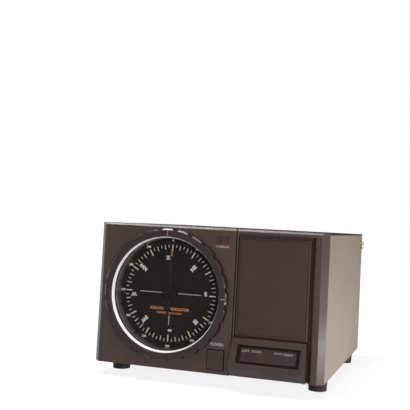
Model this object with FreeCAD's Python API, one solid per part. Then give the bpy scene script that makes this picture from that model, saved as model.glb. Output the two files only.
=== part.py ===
# Antenna rotator controller: a desktop control box with a round direction meter.
# Cabinet coordinates, in mm: X to the right and 0 on the middle plane, Y from the
# front face towards the rear, Z up from the underside of the base pan.
# The finished pieces are moved so that the origin is under the middle of the box
# that holds them all, at the feet.
import FreeCAD
import Part
import math
import os

Vector = FreeCAD.Vector
X_AXIS = Vector(1, 0, 0)
Y_AXIS = Vector(0, 1, 0)
Z_AXIS = Vector(0, 0, 1)

# Cabinet
BODY_WIDTH = 200.0
BODY_DEPTH = 200.0
BODY_HEIGHT = 119.0
SHEET = 1.2
REAR_SHEET = 1.5
SEAM = 0.2
FLANGE_DEPTH = 12.0
LID_FLANGE = 5.0
BEND_GAP = 0.5
FLANGE_GAP = 2.0
LID_FLANGE_GAP = 0.8
REAR_FLANGE_MARGIN = 4.0
VENT_COUNT = 7
VENT_PITCH = 7.0
VENT_WIDTH = 2.5
VENT_LENGTH = 18.0
VENT_COIL_GAP = 12.0

# Cutting tools run past the faces by CUT, and joined bodies run into each other by MERGE
CUT = 1.0
MERGE = 0.5

# Front bezel
BEZEL_DEPTH = 6.0
BEZEL_WALL = 3.0
BEZEL_SIDE_WALL = 5.0
CHAMFER_WIDTH = 5.15
CHAMFER_DEPTH = 5.9
TOP_CHAMFER = 1.7
LIP_DEPTH = 10.0
LIP_WALL = 2.0
LIP_SCREW_INSET = 17.0
LIP_BOSS_HEIGHT = 6.0
LIP_BOSS_ROOF = 1.0
GROOVE_WIDTH = 1.2
GROOVE_DEPTH = 2.5

# Bay for the blank panel and the switch housing
BAY_GROOVE_GAP = 0.9
BAY_SIDE_MARGIN = 10.0
BAY_BEVEL_WIDTH = 2.6
BAY_BEVEL_DEPTH = 3.0
BAY_DEPTH = 5.0
BAY_TOP_MARGIN = 4.0
BAY_FLOOR = 2.0
BAY_WALL = 2.0
PANEL_LEFT_GAP = 0.3
PANEL_RIGHT_GAP = 1.4
PANEL_TOP_GAP = 2.1
PANEL_HOUSING_GAP = 1.4
PANEL_FACE_SINK = 0.6
PANEL_WALL = 2.0
PANEL_BEVEL = 0.7
PANEL_BORDER = 0.75
PANEL_GROOVE_WIDTH = 1.1
PANEL_GROOVE_DEPTH = 0.6
PEG_RADIUS = 2.0
PEG_INSET = 9.0
PEG_END = 1.5
PEG_FIT = 0.1

# Switch housing: a wedge that leans out towards its nose
HOUSING_GROOVE_GAP = 0.2
HOUSING_TOP = 31.2
HOUSING_TOP_OUT = 1.0
NOSE_Z = 8.4
NOSE_OUT = 10.0
HOUSING_FOOT_Z = 0.3
HOUSING_WALL = 2.0
NOSE_WALL_OUT = 3.2
NOSE_WALL_UP = 0.6
FOOT_WALL_IN = 0.91
RECESS_SIDE_MARGIN = 4.7
RECESS_HEIGHT = 15.4
RECESS_SPARE = 0.6
RECESS_WALL = 1.5
KEY_OFFSET = 0.7
KEY_DROP = 0.45
KEY_SIDE_GAP = 3.0
KEY_END_GAP = 2.0
KEY_SINK = 1.0
KEY_THICKNESS = 2.8
KEY_EDGE = 0.6
KEY_PIVOT_DEPTH = 3.4
KEY_BARREL_RADIUS = 1.9
KEY_PIN_RADIUS = 0.8
KEY_PIN_SEAT = 1.2
KEY_TILT_DEG = 4.0
LEVER_WIDTH = 3.0
LEVER_HEIGHT = 5.0
LEVER_LENGTH = 14.0
LEVER_ROOM = 1.0

# Direction switch behind the key
FORK_WIDTH = 8.0
FORK_HEIGHT = 8.8
FORK_DEPTH = 2.8
FORK_FLOOR = 0.4
FORK_FIT = 0.15
FORK_DROP = 6.35
FORK_ROOM = 1.0
FORK_HOLE_LOW = 2.0
FORK_HOLE_HIGH = 5.0
LEVER_END_GAP = 1.1
STEM_WIDTH = 4.0
STEM_HEIGHT = 3.0
STEM_LENGTH = 4.0
SLIDE_FIT = 0.1
SLIDER_TRAVEL = 0.95
SWITCH_WIDTH = 30.0
SWITCH_HEIGHT = 12.0
SWITCH_DEPTH = 10.0
SWITCH_BOARD_WIDTH = 48.0
SWITCH_BOARD_HEIGHT = 35.4
SWITCH_BOARD_BOTTOM = 4.6
SWITCH_SCREW_SIDE = 4.0
SWITCH_SCREW_DROP = 5.0
BOARD_THICKNESS = 1.6

# Meter
RING_TOP_MARGIN = 2.65
RING_BOTTOM_MARGIN = 6.75
RING_SIDE_MARGIN = 9.5
RING_GROOVE_GAP = 4.1
RING_OUT = 5.0
RING_EDGE = 1.2
RING_GAP = 0.4
RING_FACE_WIDTH = 6.5
RING_TAPER = 1.9
SLEEVE_WALL = 1.7
SLEEVE_SHELF = 1.0
SLEEVE_SHELF_FALL = 0.2
RING_FIT = 0.1
RING_LIP = 1.0
RING_LIP_GAP = 0.3
RING_LIP_THICKNESS = 1.0
RING_LIP_ROOM = 1.0
RING_FLUTES = 24
FLUTE_RADIUS = 2.4
FLUTE_DEPTH = 0.9
RIM_FRONT = 1.1
RIM_DEPTH = 8.4
RIM_FIT = 0.3
RIM_WALL = 1.0
RIM_TAPER = 0.4
RIM_SHELF_INSET = 0.2
LENS_THICKNESS = 1.5
LENS_FIT = 0.05
DIAL_THICKNESS = 1.0
DIAL_INSET = 0.8
DIAL_HOLE = 3.4
CASE_WALL = 2.4
CASE_DEPTH = 37.5
CASE_BACK_WALL = 2.0
EAR_SETBACK = 1.5
EAR_THICKNESS = 2.5
EAR_OUT = 8.5
EAR_WIDTH = 8.0
EAR_ANGLES = (0.0, 120.0, 240.0)
POST_RADIUS = 3.0

# Meter movement
POINTER_RIM_GAP = 7.8
POINTER_TAIL = 15.0
POINTER_WIDTH = 2.8
POINTER_TIP_WIDTH = 1.2
POINTER_TIP_LENGTH = 9.55
POINTER_DIAL_GAP = 1.1
POINTER_THICKNESS = 0.8
HUB_RADIUS = 6.0
HUB_DEPTH = 2.6
HUB_EDGE = 0.8
BLADE_DISC_RADIUS = 4.5
COLLAR_RADIUS = 1.6
COLLAR_LENGTH = 1.2
SHAFT_RADIUS = 0.75
SHAFT_FIT = 0.05
SHAFT_ROOM = 0.3
BUSH_RADIUS = 2.0
BUSH_LENGTH = 6.0
FORMER_RADIUS = 12.0
FORMER_SETBACK = 7.5
FORMER_LENGTH = 20.0
FORMER_BOSS_RADIUS = 2.8
FORMER_BOSS_REACH = 6.0
MAGNET_RADIUS = 8.5
MAGNET_LENGTH = 8.0
MAGNET_ROOM = 0.7
COIL_WALL = 2.4
COIL_WIDTH = 5.0
COIL_SPLIT = 3.1
COIL_GAP = 0.2
LAMP_OFFSET = 30.0
LAMP_RADIUS = 3.0
LAMP_BASE_RADIUS = 4.0
LAMP_BASE_DEPTH = 3.0
LAMP_LENGTH = 14.0
LAMP_TAIL = 6.0

# Overlap lamp
WINDOW_GROOVE_GAP = 5.9
WINDOW_WIDTH = 11.3
WINDOW_HEIGHT = 6.4
WINDOW_TOP_MARGIN = 6.8
WINDOW_SINK = 0.2
WINDOW_LENS_LEFT_INSET = 3.5
WINDOW_LENS_RIGHT_INSET = 2.6
WINDOW_LENS_EDGE_INSET = 1.0
WINDOW_FRAME_DEPTH = 1.6
LENS_PLATE = 1.4
LED_RADIUS = 1.5
LED_FLANGE = 1.9
LED_FLANGE_THICKNESS = 1.0
LED_LENGTH = 6.0
LED_GAP = 0.1
LED_COLLAR_WALL = 1.2
LED_COLLAR_LENGTH = 3.0
LED_LEG_RADIUS = 0.3
LED_LEG_LENGTH = 8.0
LED_LEG_SPREAD = 0.8

# Power button
BUTTON_GROOVE_GAP = 5.5
BUTTON_BOTTOM = 3.6
BUTTON_WIDTH = 14.1
BUTTON_HEIGHT = 15.8
BUTTON_OUT = 1.0
BUTTON_DEPTH = 9.0
BUTTON_WALL = 1.5
BUTTON_GAP = 0.5
BUTTON_EDGE = 0.5
BUTTON_TRAVEL = 3.0
PLUNGER_SIZE = 5.0
PLUNGER_FIT = 0.2
PLUNGER_LENGTH = 21.5
PLUNGER_SPARE = 6.0
SWITCH_BUTTON_GAP = 3.0
POWER_SWITCH_SIZE = 15.0
POWER_SWITCH_WALL = 3.0
TAG_SPREAD = 4.0
TAG_WIDTH = 2.0
TAG_THICKNESS = 0.8
TAG_LENGTH = 5.0
BRACKET_SHEET = 1.4
BRACKET_HOLE = 7.0
BRACKET_SHELF_FIT = 0.3
BRACKET_SHELF_SHORT = 4.0
BRACKET_LOW_OUT = 5.6
BRACKET_LOW_UP = 4.4
BRACKET_HIGH_OUT = 0.3
BRACKET_HIGH_UP = 7.6
SPRING_RADIUS = 4.3
SPRING_WIRE = 0.6
SPRING_TURNS = 5

# Feet
FOOT_HEIGHT = 11.0
FOOT_RADIUS = 8.25
FOOT_SOLE_RADIUS = 7.6
FOOT_SIDE_INSET = 10.5
FOOT_FRONT_INSET = 36.0
FOOT_REAR_INSET = 24.0
FOOT_RECESS_RADIUS = 3.4
FOOT_RECESS_DEPTH = 5.0

# Fasteners
SCREW_RADIUS = 1.5
SCREW_HEAD_RADIUS = 2.9
SCREW_HEAD_HEIGHT = 2.0
SCREW_HOLE_FIT = 0.1
SCREW_GRIP = 6.0
SCREW_TIP_ROOM = 0.2
BOARD_SCREW_GRIP = 6.6
PANEL_SCREW_TAIL = 2.0
NUT_RADIUS = 3.2
NUT_HEIGHT = 2.4
NUT_SCREW_END = 1.0
SIDE_SCREW_HEAD_RADIUS = 4.0
SIDE_SCREW_HEAD_HEIGHT = 2.6
SIDE_SCREW_LENGTH = 7.0
SIDE_SCREW_FROM_REAR = 8.5
SIDE_SCREW_FROM_TOP = 11.4
REAR_SCREW_INSET = 9.6
REAR_SCREW_EDGE = 7.0
REAR_SCREW_LENGTH = 7.0

# Transformer
CORE_WIDTH = 66.0
CORE_HEIGHT = 55.0
CORE_STACK = 28.0
CORE_LEG = 11.0
CORE_CENTRE_LEG = 22.0
TRANSFORMER_FROM_SIDE = 50.0
TRANSFORMER_FROM_REAR = 80.0
COIL_FIT = 0.3
COIL_OUTER_GAP = 0.5
COIL_CORNER = 3.0
STRAP = 1.5
STRAP_FOOT = 10.0

# Main board
BOARD_SIDE_MARGIN = 13.0
BOARD_FOOT_GAP = 2.5
BOARD_LENGTH = 72.0
BOARD_REAR_GAP = 14.5
BOARD_HEIGHT = 8.0
BOARD_HOLE_INSET = 5.0
PIP_RADIUS = 3.5
PIP_WALL = 1.2
RELAY_SIZE = (19.0, 15.5, 15.0)
RELAY_FROM_SIDE = 23.0
RELAY_FROM_FRONT = 16.0
RELAY_PITCH = 22.0
CAPACITOR_RADIUS = 8.0
CAPACITOR_HEIGHT = 25.0
CAPACITOR_FROM_FRONT = 14.0
CAPACITOR_RELAY_GAP = 4.5
CAPACITOR_GAP = 4.0
RECTIFIER_SIZE = (20.0, 4.0, 15.0)

# Motor capacitor
MOTOR_CAP_FROM_SIDE = 48.0
MOTOR_CAP_COIL_GAP = 14.0
MOTOR_CAP_RADIUS = 17.5
MOTOR_CAP_HEIGHT = 62.0
CAP_TAG_SPREAD = 7.0
CAP_TAG_WIDTH = 6.0
CAP_TAG_THICKNESS = 0.8
CAP_TAG_HEIGHT = 8.0
CLAMP_SHEET = 1.2
CLAMP_HEIGHT = 10.0
CLAMP_FOOT = 11.0
CLAMP_FOOT_WIDTH = 12.0
CLAMP_FIT = 0.05

# Rear fittings
SOCKET_FROM_SIDE = 42.0
SOCKET_Z = 62.0
SOCKET_RADIUS = 11.0
SOCKET_OUT = 12.0
SOCKET_WALL = 1.6
SOCKET_FLANGE = 28.0
SOCKET_FLANGE_SHEET = 2.0
SOCKET_SCREW_INSET = 3.2
SOCKET_BODY_RADIUS = 10.0
SOCKET_BODY_DEPTH = 14.0
SOCKET_FACE_SINK = 1.0
CONTACT_CIRCLE = 5.6
CONTACT_RADIUS = 1.0
CONTACT_DEPTH = 8.0
CONTACTS = 6
INLET_FROM_SIDE = 38.0
INLET_Z = 30.0
INLET_CAVITY_WIDTH = 24.6
INLET_CAVITY_HEIGHT = 16.8
INLET_CAVITY_DEPTH = 16.0
INLET_CORNER = 4.0
INLET_WALL = 1.7
INLET_FLANGE_WIDTH = 48.0
INLET_FLANGE_HEIGHT = 23.0
INLET_FLANGE_SHEET = 3.0
INLET_BACK_WALL = 3.0
INLET_SCREW_PITCH = 40.0
PIN_WIDTH = 2.0
PIN_HEIGHT = 4.0
PIN_LENGTH = 13.0
PIN_SPACING = 7.0
PIN_LIFT = 1.5
EARTH_LIFT = 3.0
PIN_TAG = 5.0
FUSE_INLET_RISE = 36.0
FUSE_BODY_RADIUS = 6.4
FUSE_BODY_DEPTH = 30.0
FUSE_FLANGE_RADIUS = 8.6
FUSE_FLANGE_SHEET = 2.0
FUSE_BORE = 3.9
FUSE_END_WALL = 2.0
FUSE_CAP_RADIUS = 7.4
FUSE_CAP_LENGTH = 10.0
FUSE_CAP_EDGE = 1.2
FUSE_PLUG_RADIUS = 3.8
FUSE_PLUG_DEPTH = 5.0
FUSE_RADIUS = 2.6
FUSE_LENGTH = 20.0
FUSE_GRIPS = 12
GRIP_RADIUS = 1.1
GRIP_OUT = 0.6
GRIP_SETBACK = 2.0
CAP_SLOT_REACH = 4.0
CAP_SLOT_WIDTH = 1.2
CAP_SLOT_DEPTH = 1.2
GROUND_INLET_GAP = 36.0
GROUND_Z = 24.0
GROUND_RADIUS = 2.0
GROUND_OUT = 16.0
GROUND_IN = 4.0
GROUND_HEX = 4.0
GROUND_HEX_HEIGHT = 3.0
GROUND_NUT_RADIUS = 5.0
GROUND_NUT_LENGTH = 6.0
GROUND_NUT_FIT = 0.08
GROUND_NUT_GAP = 0.3
KNURLS = 16
KNURL_RADIUS = 0.7
KNURL_OUT = 0.35
KNURL_SETBACK = 1.0
ADJUSTER_FROM_EDGE = 19.0
ADJUSTER_SIZE = (12.0, 9.0, 12.0)
ADJUSTER_SHAFT_RADIUS = 3.0
ADJUSTER_SHAFT_SINK = 0.5
ADJUSTER_HOLE = 3.6
ADJUSTER_SLOT_WIDTH = 1.0
ADJUSTER_SLOT_DEPTH = 1.5
ADJUSTER_ENTRY = 4.0

# Places across the front that follow from the sizes above
HALF_WIDTH = BODY_WIDTH / 2
RING_RADIUS = (BODY_HEIGHT - RING_TOP_MARGIN - RING_BOTTOM_MARGIN) / 2
DIAL_X = -HALF_WIDTH + RING_SIDE_MARGIN + RING_RADIUS
DIAL_Z = RING_BOTTOM_MARGIN + RING_RADIUS
RING_FRONT_BORE = RING_RADIUS - RING_FACE_WIDTH
RING_REAR_BORE = RING_FRONT_BORE - RING_TAPER
SLEEVE_BORE = RING_FRONT_BORE
SLEEVE_RADIUS = SLEEVE_BORE + SLEEVE_WALL
RIM_RADIUS = SLEEVE_BORE - RIM_FIT
RIM_REAR = RIM_FRONT + RIM_DEPTH
RIM_REAR_BORE = RING_REAR_BORE - RIM_TAPER
LENS_RADIUS = RIM_RADIUS - RIM_WALL
DIAL_RADIUS = RIM_RADIUS - DIAL_INSET
CASE_RADIUS = RIM_RADIUS
EAR_REACH = CASE_RADIUS + EAR_OUT
GROOVE_LEFT = DIAL_X + RING_RADIUS + RING_GROOVE_GAP
BAY_LEFT = GROOVE_LEFT + GROOVE_WIDTH + BAY_GROOVE_GAP
BAY_RIGHT = HALF_WIDTH - BAY_SIDE_MARGIN
BAY_TOP = BODY_HEIGHT - BAY_TOP_MARGIN
PANEL_LEFT = BAY_LEFT + PANEL_LEFT_GAP
PANEL_RIGHT = BAY_RIGHT - BAY_BEVEL_WIDTH - PANEL_RIGHT_GAP
PANEL_TOP = BAY_TOP - PANEL_TOP_GAP
PANEL_BOTTOM = HOUSING_TOP + PANEL_HOUSING_GAP
PANEL_FACE = PANEL_FACE_SINK
HOUSING_LEFT = GROOVE_LEFT + GROOVE_WIDTH + HOUSING_GROOVE_GAP
HOUSING_RIGHT = PANEL_RIGHT
HOUSING_LEAN = math.atan2(NOSE_OUT - HOUSING_TOP_OUT, HOUSING_TOP - NOSE_Z)
RECESS_WIDTH = HOUSING_RIGHT - HOUSING_LEFT - 2 * RECESS_SIDE_MARGIN
KEY_WIDTH = RECESS_WIDTH - 2 * KEY_SIDE_GAP
KEY_HEIGHT = RECESS_HEIGHT - 2 * KEY_END_GAP
KEY_X = (HOUSING_LEFT + HOUSING_RIGHT) / 2 + KEY_OFFSET
KEY_Z = (HOUSING_TOP + NOSE_Z) / 2 - KEY_DROP
KEY_FACE_Y = -NOSE_OUT + (KEY_Z - NOSE_Z) * math.tan(HOUSING_LEAN)
KEY_DIP = KEY_WIDTH / 2 * math.sin(math.radians(KEY_TILT_DEG))
RECESS_DEPTH = KEY_SINK + KEY_THICKNESS + KEY_DIP + RECESS_SPARE
FORK_MIDDLE_Z = KEY_Z - FORK_DROP
LEVER_TIP_Y = KEY_FACE_Y + (KEY_PIVOT_DEPTH + LEVER_LENGTH) * math.cos(HOUSING_LEAN)
FORK_BACK = LEVER_TIP_Y + LEVER_END_GAP + FORK_FLOOR
FORK_FRONT = FORK_BACK - FORK_DEPTH
SWITCH_BOARD_TOP = SWITCH_BOARD_BOTTOM + SWITCH_BOARD_HEIGHT
WINDOW_RIGHT = GROOVE_LEFT - WINDOW_GROOVE_GAP
WINDOW_LEFT = WINDOW_RIGHT - WINDOW_WIDTH
WINDOW_TOP = BODY_HEIGHT - WINDOW_TOP_MARGIN
WINDOW_BOTTOM = WINDOW_TOP - WINDOW_HEIGHT
WINDOW_LENS_LEFT = WINDOW_LEFT + WINDOW_LENS_LEFT_INSET
WINDOW_LENS_RIGHT = WINDOW_RIGHT - WINDOW_LENS_RIGHT_INSET
WINDOW_LENS_BOTTOM = WINDOW_BOTTOM + WINDOW_LENS_EDGE_INSET
WINDOW_LENS_TOP = WINDOW_TOP - WINDOW_LENS_EDGE_INSET
WINDOW_LENS_BACK = WINDOW_SINK + WINDOW_FRAME_DEPTH + LENS_PLATE
BUTTON_LEFT = GROOVE_LEFT - BUTTON_GROOVE_GAP - BUTTON_WIDTH
BUTTON_X = BUTTON_LEFT + BUTTON_WIDTH / 2
BUTTON_Z = BUTTON_BOTTOM + BUTTON_HEIGHT / 2
BUTTON_REAR = BUTTON_DEPTH - BUTTON_OUT

# Places along the depth and inside that follow from the sizes above
SIDE_INNER = HALF_WIDTH - SHEET
FLANGE_INNER = SIDE_INNER - SHEET
CABINET_FRONT = BEZEL_DEPTH + SEAM
SHEET_START = BEZEL_DEPTH + LIP_DEPTH + BEND_GAP
REAR_FACE = BODY_DEPTH
REAR_INNER = BODY_DEPTH - REAR_SHEET
REAR_FLANGE_REACH = FLANGE_INNER - REAR_FLANGE_MARGIN
LID_Z = BODY_HEIGHT - SHEET
LIP_SIDE = SIDE_INNER - SEAM
LIP_LOW = SHEET + SEAM
LIP_HIGH = LID_Z - SEAM
SCREW_HOLE = SCREW_RADIUS + SCREW_HOLE_FIT
DIAL_FRONT = RIM_REAR
CASE_FRONT = DIAL_FRONT + DIAL_THICKNESS
CASE_BACK = CASE_FRONT + CASE_DEPTH
EAR_FRONT = CASE_FRONT + EAR_SETBACK
POINTER_REACH = RIM_REAR_BORE - POINTER_RIM_GAP
POINTER_FRONT = DIAL_FRONT - POINTER_DIAL_GAP - POINTER_THICKNESS
HUB_FRONT = POINTER_FRONT - HUB_DEPTH
FORMER_FRONT = CASE_FRONT + FORMER_SETBACK
POWER_SWITCH_FRONT = BUTTON_REAR + BUTTON_TRAVEL + SWITCH_BUTTON_GAP
BRACKET_FRONT = POWER_SWITCH_FRONT - BRACKET_SHEET
PLUNGER_REAR = BUTTON_WALL - BUTTON_OUT + PLUNGER_LENGTH
POWER_SWITCH_REAR = PLUNGER_REAR + BUTTON_TRAVEL + PLUNGER_SPARE + POWER_SWITCH_WALL
FOOT_X = HALF_WIDTH - FOOT_SIDE_INSET
SIDE_SCREW_Z = BODY_HEIGHT - SIDE_SCREW_FROM_TOP
REAR_SCREW_X = REAR_FLANGE_REACH - REAR_SCREW_INSET
TRANSFORMER_X = HALF_WIDTH - TRANSFORMER_FROM_SIDE
TRANSFORMER_Y = BODY_DEPTH - TRANSFORMER_FROM_REAR
COIL_BUILD = (CORE_WIDTH - CORE_CENTRE_LEG) / 2 - CORE_LEG - COIL_FIT - COIL_OUTER_GAP
COIL_REACH = CORE_STACK / 2 + COIL_FIT + COIL_BUILD
MOTOR_CAP_X = HALF_WIDTH - MOTOR_CAP_FROM_SIDE
MOTOR_CAP_Y = TRANSFORMER_Y - COIL_REACH - MOTOR_CAP_COIL_GAP - MOTOR_CAP_RADIUS
BOARD_LEFT = -HALF_WIDTH + BOARD_SIDE_MARGIN
BOARD_RIGHT = TRANSFORMER_X - CORE_WIDTH / 2 - STRAP - STRAP_FOOT - BOARD_FOOT_GAP
BOARD_REAR = REAR_INNER - BOARD_REAR_GAP
BOARD_FRONT = BOARD_REAR - BOARD_LENGTH
BOARD_TOP = SHEET + BOARD_HEIGHT + BOARD_THICKNESS
SOCKET_X = -HALF_WIDTH + SOCKET_FROM_SIDE
INLET_X = HALF_WIDTH - INLET_FROM_SIDE
FUSE_X = INLET_X
FUSE_Z = INLET_Z + FUSE_INLET_RISE
GROUND_X = INLET_X - GROUND_INLET_GAP
ADJUSTER_X = BOARD_RIGHT - ADJUSTER_FROM_EDGE
FRONT_REACH = max(NOSE_OUT, RING_OUT, BUTTON_OUT)
REAR_REACH = max(
    SOCKET_OUT + SOCKET_FLANGE_SHEET,
    GROUND_OUT,
    FUSE_FLANGE_SHEET + FUSE_CAP_LENGTH,
    INLET_FLANGE_SHEET,
)
FRONT_Y = (FRONT_REACH - BODY_DEPTH - REAR_REACH) / 2
ORIGIN_SHIFT = Vector(0, FRONT_Y, FOOT_HEIGHT)


def box(x0, x1, y0, y1, z0, z1):
    """A box between two corners."""
    return Part.makeBox(x1 - x0, y1 - y0, z1 - z0, Vector(x0, y0, z0))


def rod(radius, y0, y1, x, z):
    """A cylinder along Y."""
    return Part.makeCylinder(radius, y1 - y0, Vector(x, y0, z), Y_AXIS)


def post(radius, z0, z1, x, y):
    """A cylinder along Z."""
    return Part.makeCylinder(radius, z1 - z0, Vector(x, y, z0), Z_AXIS)


def side_rod(radius, x0, x1, y, z):
    """A cylinder along X."""
    return Part.makeCylinder(radius, x1 - x0, Vector(x0, y, z), X_AXIS)


def prism(points, direction):
    """A straight prism on a flat outline of points."""
    outline = Part.makePolygon([Vector(*p) for p in points] + [Vector(*points[0])])
    return Part.Face(outline).extrude(Vector(*direction))


def turned(profile, x, z):
    """A solid turned about a Y axis at x, z from (radius, y) points."""
    outline = [Vector(x + r, y, z) for r, y in profile]
    face = Part.Face(Part.makePolygon(outline + [outline[0]]))
    return face.revolve(Vector(x, 0, z), Y_AXIS, 360)


def fuse(first, *others):
    """One solid from several that touch."""
    return first.fuse(list(others)).removeSplitter()


def group(shapes):
    """Separate solids kept in one node."""
    return Part.makeCompound(list(shapes))


def hexagon(radius, z0, z1, x, y):
    """A hexagonal nut blank along Z, radius to its corners."""
    corners = [math.radians(60 * i) for i in range(6)]
    points = [(x + radius * math.cos(a), y + radius * math.sin(a), z0) for a in corners]
    return prism(points, (0, 0, z1 - z0))


def screw(tip, head_seat, axis, radius=SCREW_RADIUS, head=SCREW_HEAD_RADIUS,
          head_height=SCREW_HEAD_HEIGHT):
    """A pan-head screw: shank from tip to head_seat along axis, head beyond."""
    start = Vector(*tip)
    seat = Vector(*head_seat)
    shank = Part.makeCylinder(radius, (seat - start).Length, start, axis)
    cap = Part.makeCylinder(head, head_height, seat, axis)
    rims = [e for e in cap.Edges if len(e.Vertexes) == 1
            and (e.CenterOfMass - seat).dot(axis) > head_height / 2]
    cap = cap.makeFillet(head_height * 0.4, rims)
    slot_centre = seat + axis * head_height
    across = X_AXIS if abs(axis.x) < 0.5 else Y_AXIS
    slot = cross_slot(slot_centre, axis, across, head)
    return shank.fuse(cap).cut(slot)


def cross_slot(centre, axis, across, head):
    """The cross recess in a screw head."""
    other = axis.cross(across)
    arm = head * 0.6
    width = head * 0.12
    depth = head * 0.25
    bars = []
    for along, side in ((across, other), (other, across)):
        corners = [
            centre + along * a + side * b - axis * depth
            for a, b in ((-arm, -width), (arm, -width), (arm, width), (-arm, width))
        ]
        face = Part.Face(Part.makePolygon(corners + [corners[0]]))
        bars.append(face.extrude(axis * (2 * depth)))
    return bars[0].fuse(bars[1])


# The switch housing's face has a frame of its own: X across, Y into the face and
# Z up the face, with its origin at the middle of the key.
def onto_face(shape):
    """Move a shape from the face's frame into cabinet coordinates."""
    tilted = shape.rotate(Vector(0, 0, 0), X_AXIS, -math.degrees(HOUSING_LEAN))
    tilted.translate(Vector(KEY_X, KEY_FACE_Y, KEY_Z))
    return tilted


def ear_places():
    """Where the meter's three ears are screwed to the bezel."""
    places = []
    for angle in EAR_ANGLES:
        turn = math.radians(angle)
        places.append((DIAL_X + EAR_REACH * math.cos(turn), DIAL_Z + EAR_REACH * math.sin(turn)))
    return places


def bracket_places():
    """Where the power switch bracket is screwed to the bezel."""
    low = (BUTTON_LEFT - BRACKET_LOW_OUT, BUTTON_BOTTOM + BRACKET_LOW_UP)
    high = (BUTTON_LEFT + BUTTON_WIDTH + BRACKET_HIGH_OUT,
            BUTTON_BOTTOM + BUTTON_HEIGHT + BRACKET_HIGH_UP)
    return [low, high]


def switch_board_places():
    """Where the switch board is screwed to the bay floor."""
    reach = SWITCH_BOARD_WIDTH / 2 - SWITCH_SCREW_SIDE
    height = SWITCH_BOARD_TOP - SWITCH_SCREW_DROP
    return [(KEY_X - reach, height), (KEY_X + reach, height)]


def switch_front():
    """The Y of the direction switch body's front."""
    return FORK_BACK + SLIDE_FIT


def switch_board_front():
    """The Y of the switch board's front."""
    return switch_front() + SWITCH_DEPTH


def panel_pegs():
    """Where the blank panel's pegs go through the bay floor."""
    return [
        (x, z)
        for x in (PANEL_LEFT + PEG_INSET, PANEL_RIGHT - PEG_INSET)
        for z in (PANEL_BOTTOM + PEG_INSET, PANEL_TOP - PEG_INSET)
    ]


def underside_places():
    """Where the base pan is screwed up into the bezel's lip."""
    reach = HALF_WIDTH - LIP_SCREW_INSET
    return [(x, BEZEL_DEPTH + LIP_DEPTH / 2) for x in (-reach, reach)]


def foot_places():
    """The four feet, by name."""
    return {
        "foot_front_left": (-FOOT_X, FOOT_FRONT_INSET),
        "foot_front_right": (FOOT_X, FOOT_FRONT_INSET),
        "foot_rear_left": (-FOOT_X, BODY_DEPTH - FOOT_REAR_INSET),
        "foot_rear_right": (FOOT_X, BODY_DEPTH - FOOT_REAR_INSET),
    }


def board_places():
    """The main board's four screws."""
    return [
        (x, y)
        for x in (BOARD_LEFT + BOARD_HOLE_INSET, BOARD_RIGHT - BOARD_HOLE_INSET)
        for y in (BOARD_FRONT + BOARD_HOLE_INSET, BOARD_REAR - BOARD_HOLE_INSET)
    ]


def transformer_places():
    """The transformer frame's two screws."""
    reach = CORE_WIDTH / 2 + STRAP + STRAP_FOOT / 2
    return [(TRANSFORMER_X - reach, TRANSFORMER_Y), (TRANSFORMER_X + reach, TRANSFORMER_Y)]


def clamp_places():
    """The capacitor clamp's two screws."""
    reach = MOTOR_CAP_RADIUS + CLAMP_SHEET + CLAMP_FOOT / 2
    return [(MOTOR_CAP_X - reach, MOTOR_CAP_Y), (MOTOR_CAP_X + reach, MOTOR_CAP_Y)]


def rear_screw_places():
    """The rear panel's four screws, as (x, z)."""
    low = SHEET + REAR_SCREW_EDGE
    high = LID_Z - REAR_SCREW_EDGE
    return [(x, z) for x in (-REAR_SCREW_X, REAR_SCREW_X) for z in (low, high)]


def side_screw_y():
    """How far back the side screws are."""
    return BODY_DEPTH - SIDE_SCREW_FROM_REAR


def bezel_block():
    """The bezel's outer form, with its chamfers and hollow back."""
    edge = HALF_WIDTH - CHAMFER_WIDTH
    outline = [
        (-edge, 0, 0), (edge, 0, 0), (HALF_WIDTH, CHAMFER_DEPTH, 0), (HALF_WIDTH, BEZEL_DEPTH, 0),
        (-HALF_WIDTH, BEZEL_DEPTH, 0), (-HALF_WIDTH, CHAMFER_DEPTH, 0),
    ]
    block = prism(outline, (0, 0, BODY_HEIGHT))
    start = BODY_HEIGHT - TOP_CHAMFER
    left, high = -HALF_WIDTH - CUT, BODY_HEIGHT + CUT
    corner = [(left, -CUT, start - CUT), (left, -CUT, high), (left, TOP_CHAMFER + CUT, high)]
    block = block.cut(prism(corner, (BODY_WIDTH + 2 * CUT, 0, 0)))
    hollow = box(-HALF_WIDTH + BEZEL_SIDE_WALL, HALF_WIDTH - BEZEL_SIDE_WALL, BEZEL_WALL,
                 BEZEL_DEPTH + CUT, BEZEL_WALL, BODY_HEIGHT - BEZEL_WALL)
    return block.cut(hollow)


def bezel_lip():
    """The frame behind the bezel that the sheet panels lap over."""
    end = BEZEL_DEPTH + LIP_DEPTH
    outer = box(-LIP_SIDE, LIP_SIDE, BEZEL_DEPTH, end, LIP_LOW, LIP_HIGH)
    inner = box(-LIP_SIDE + LIP_WALL, LIP_SIDE - LIP_WALL, BEZEL_DEPTH - CUT, end + CUT,
                LIP_LOW + LIP_WALL, LIP_HIGH - LIP_WALL)
    return outer.cut(inner)


def bezel_bay_cut():
    """The room for the blank panel and the switch housing."""
    inner = BAY_RIGHT - BAY_BEVEL_WIDTH
    slope = BAY_BEVEL_WIDTH / BAY_BEVEL_DEPTH
    outline = [
        (BAY_LEFT, -CUT, -CUT), (BAY_RIGHT + CUT * slope, -CUT, -CUT),
        (inner, BAY_BEVEL_DEPTH, -CUT), (inner, BAY_DEPTH, -CUT), (BAY_LEFT, BAY_DEPTH, -CUT),
    ]
    bay = prism(outline, (0, 0, BAY_TOP + CUT))
    corner = box(GROOVE_LEFT + GROOVE_WIDTH, BAY_LEFT + CUT, -CUT, BAY_DEPTH, -CUT, HOUSING_TOP)
    return bay.fuse(corner)


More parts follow.
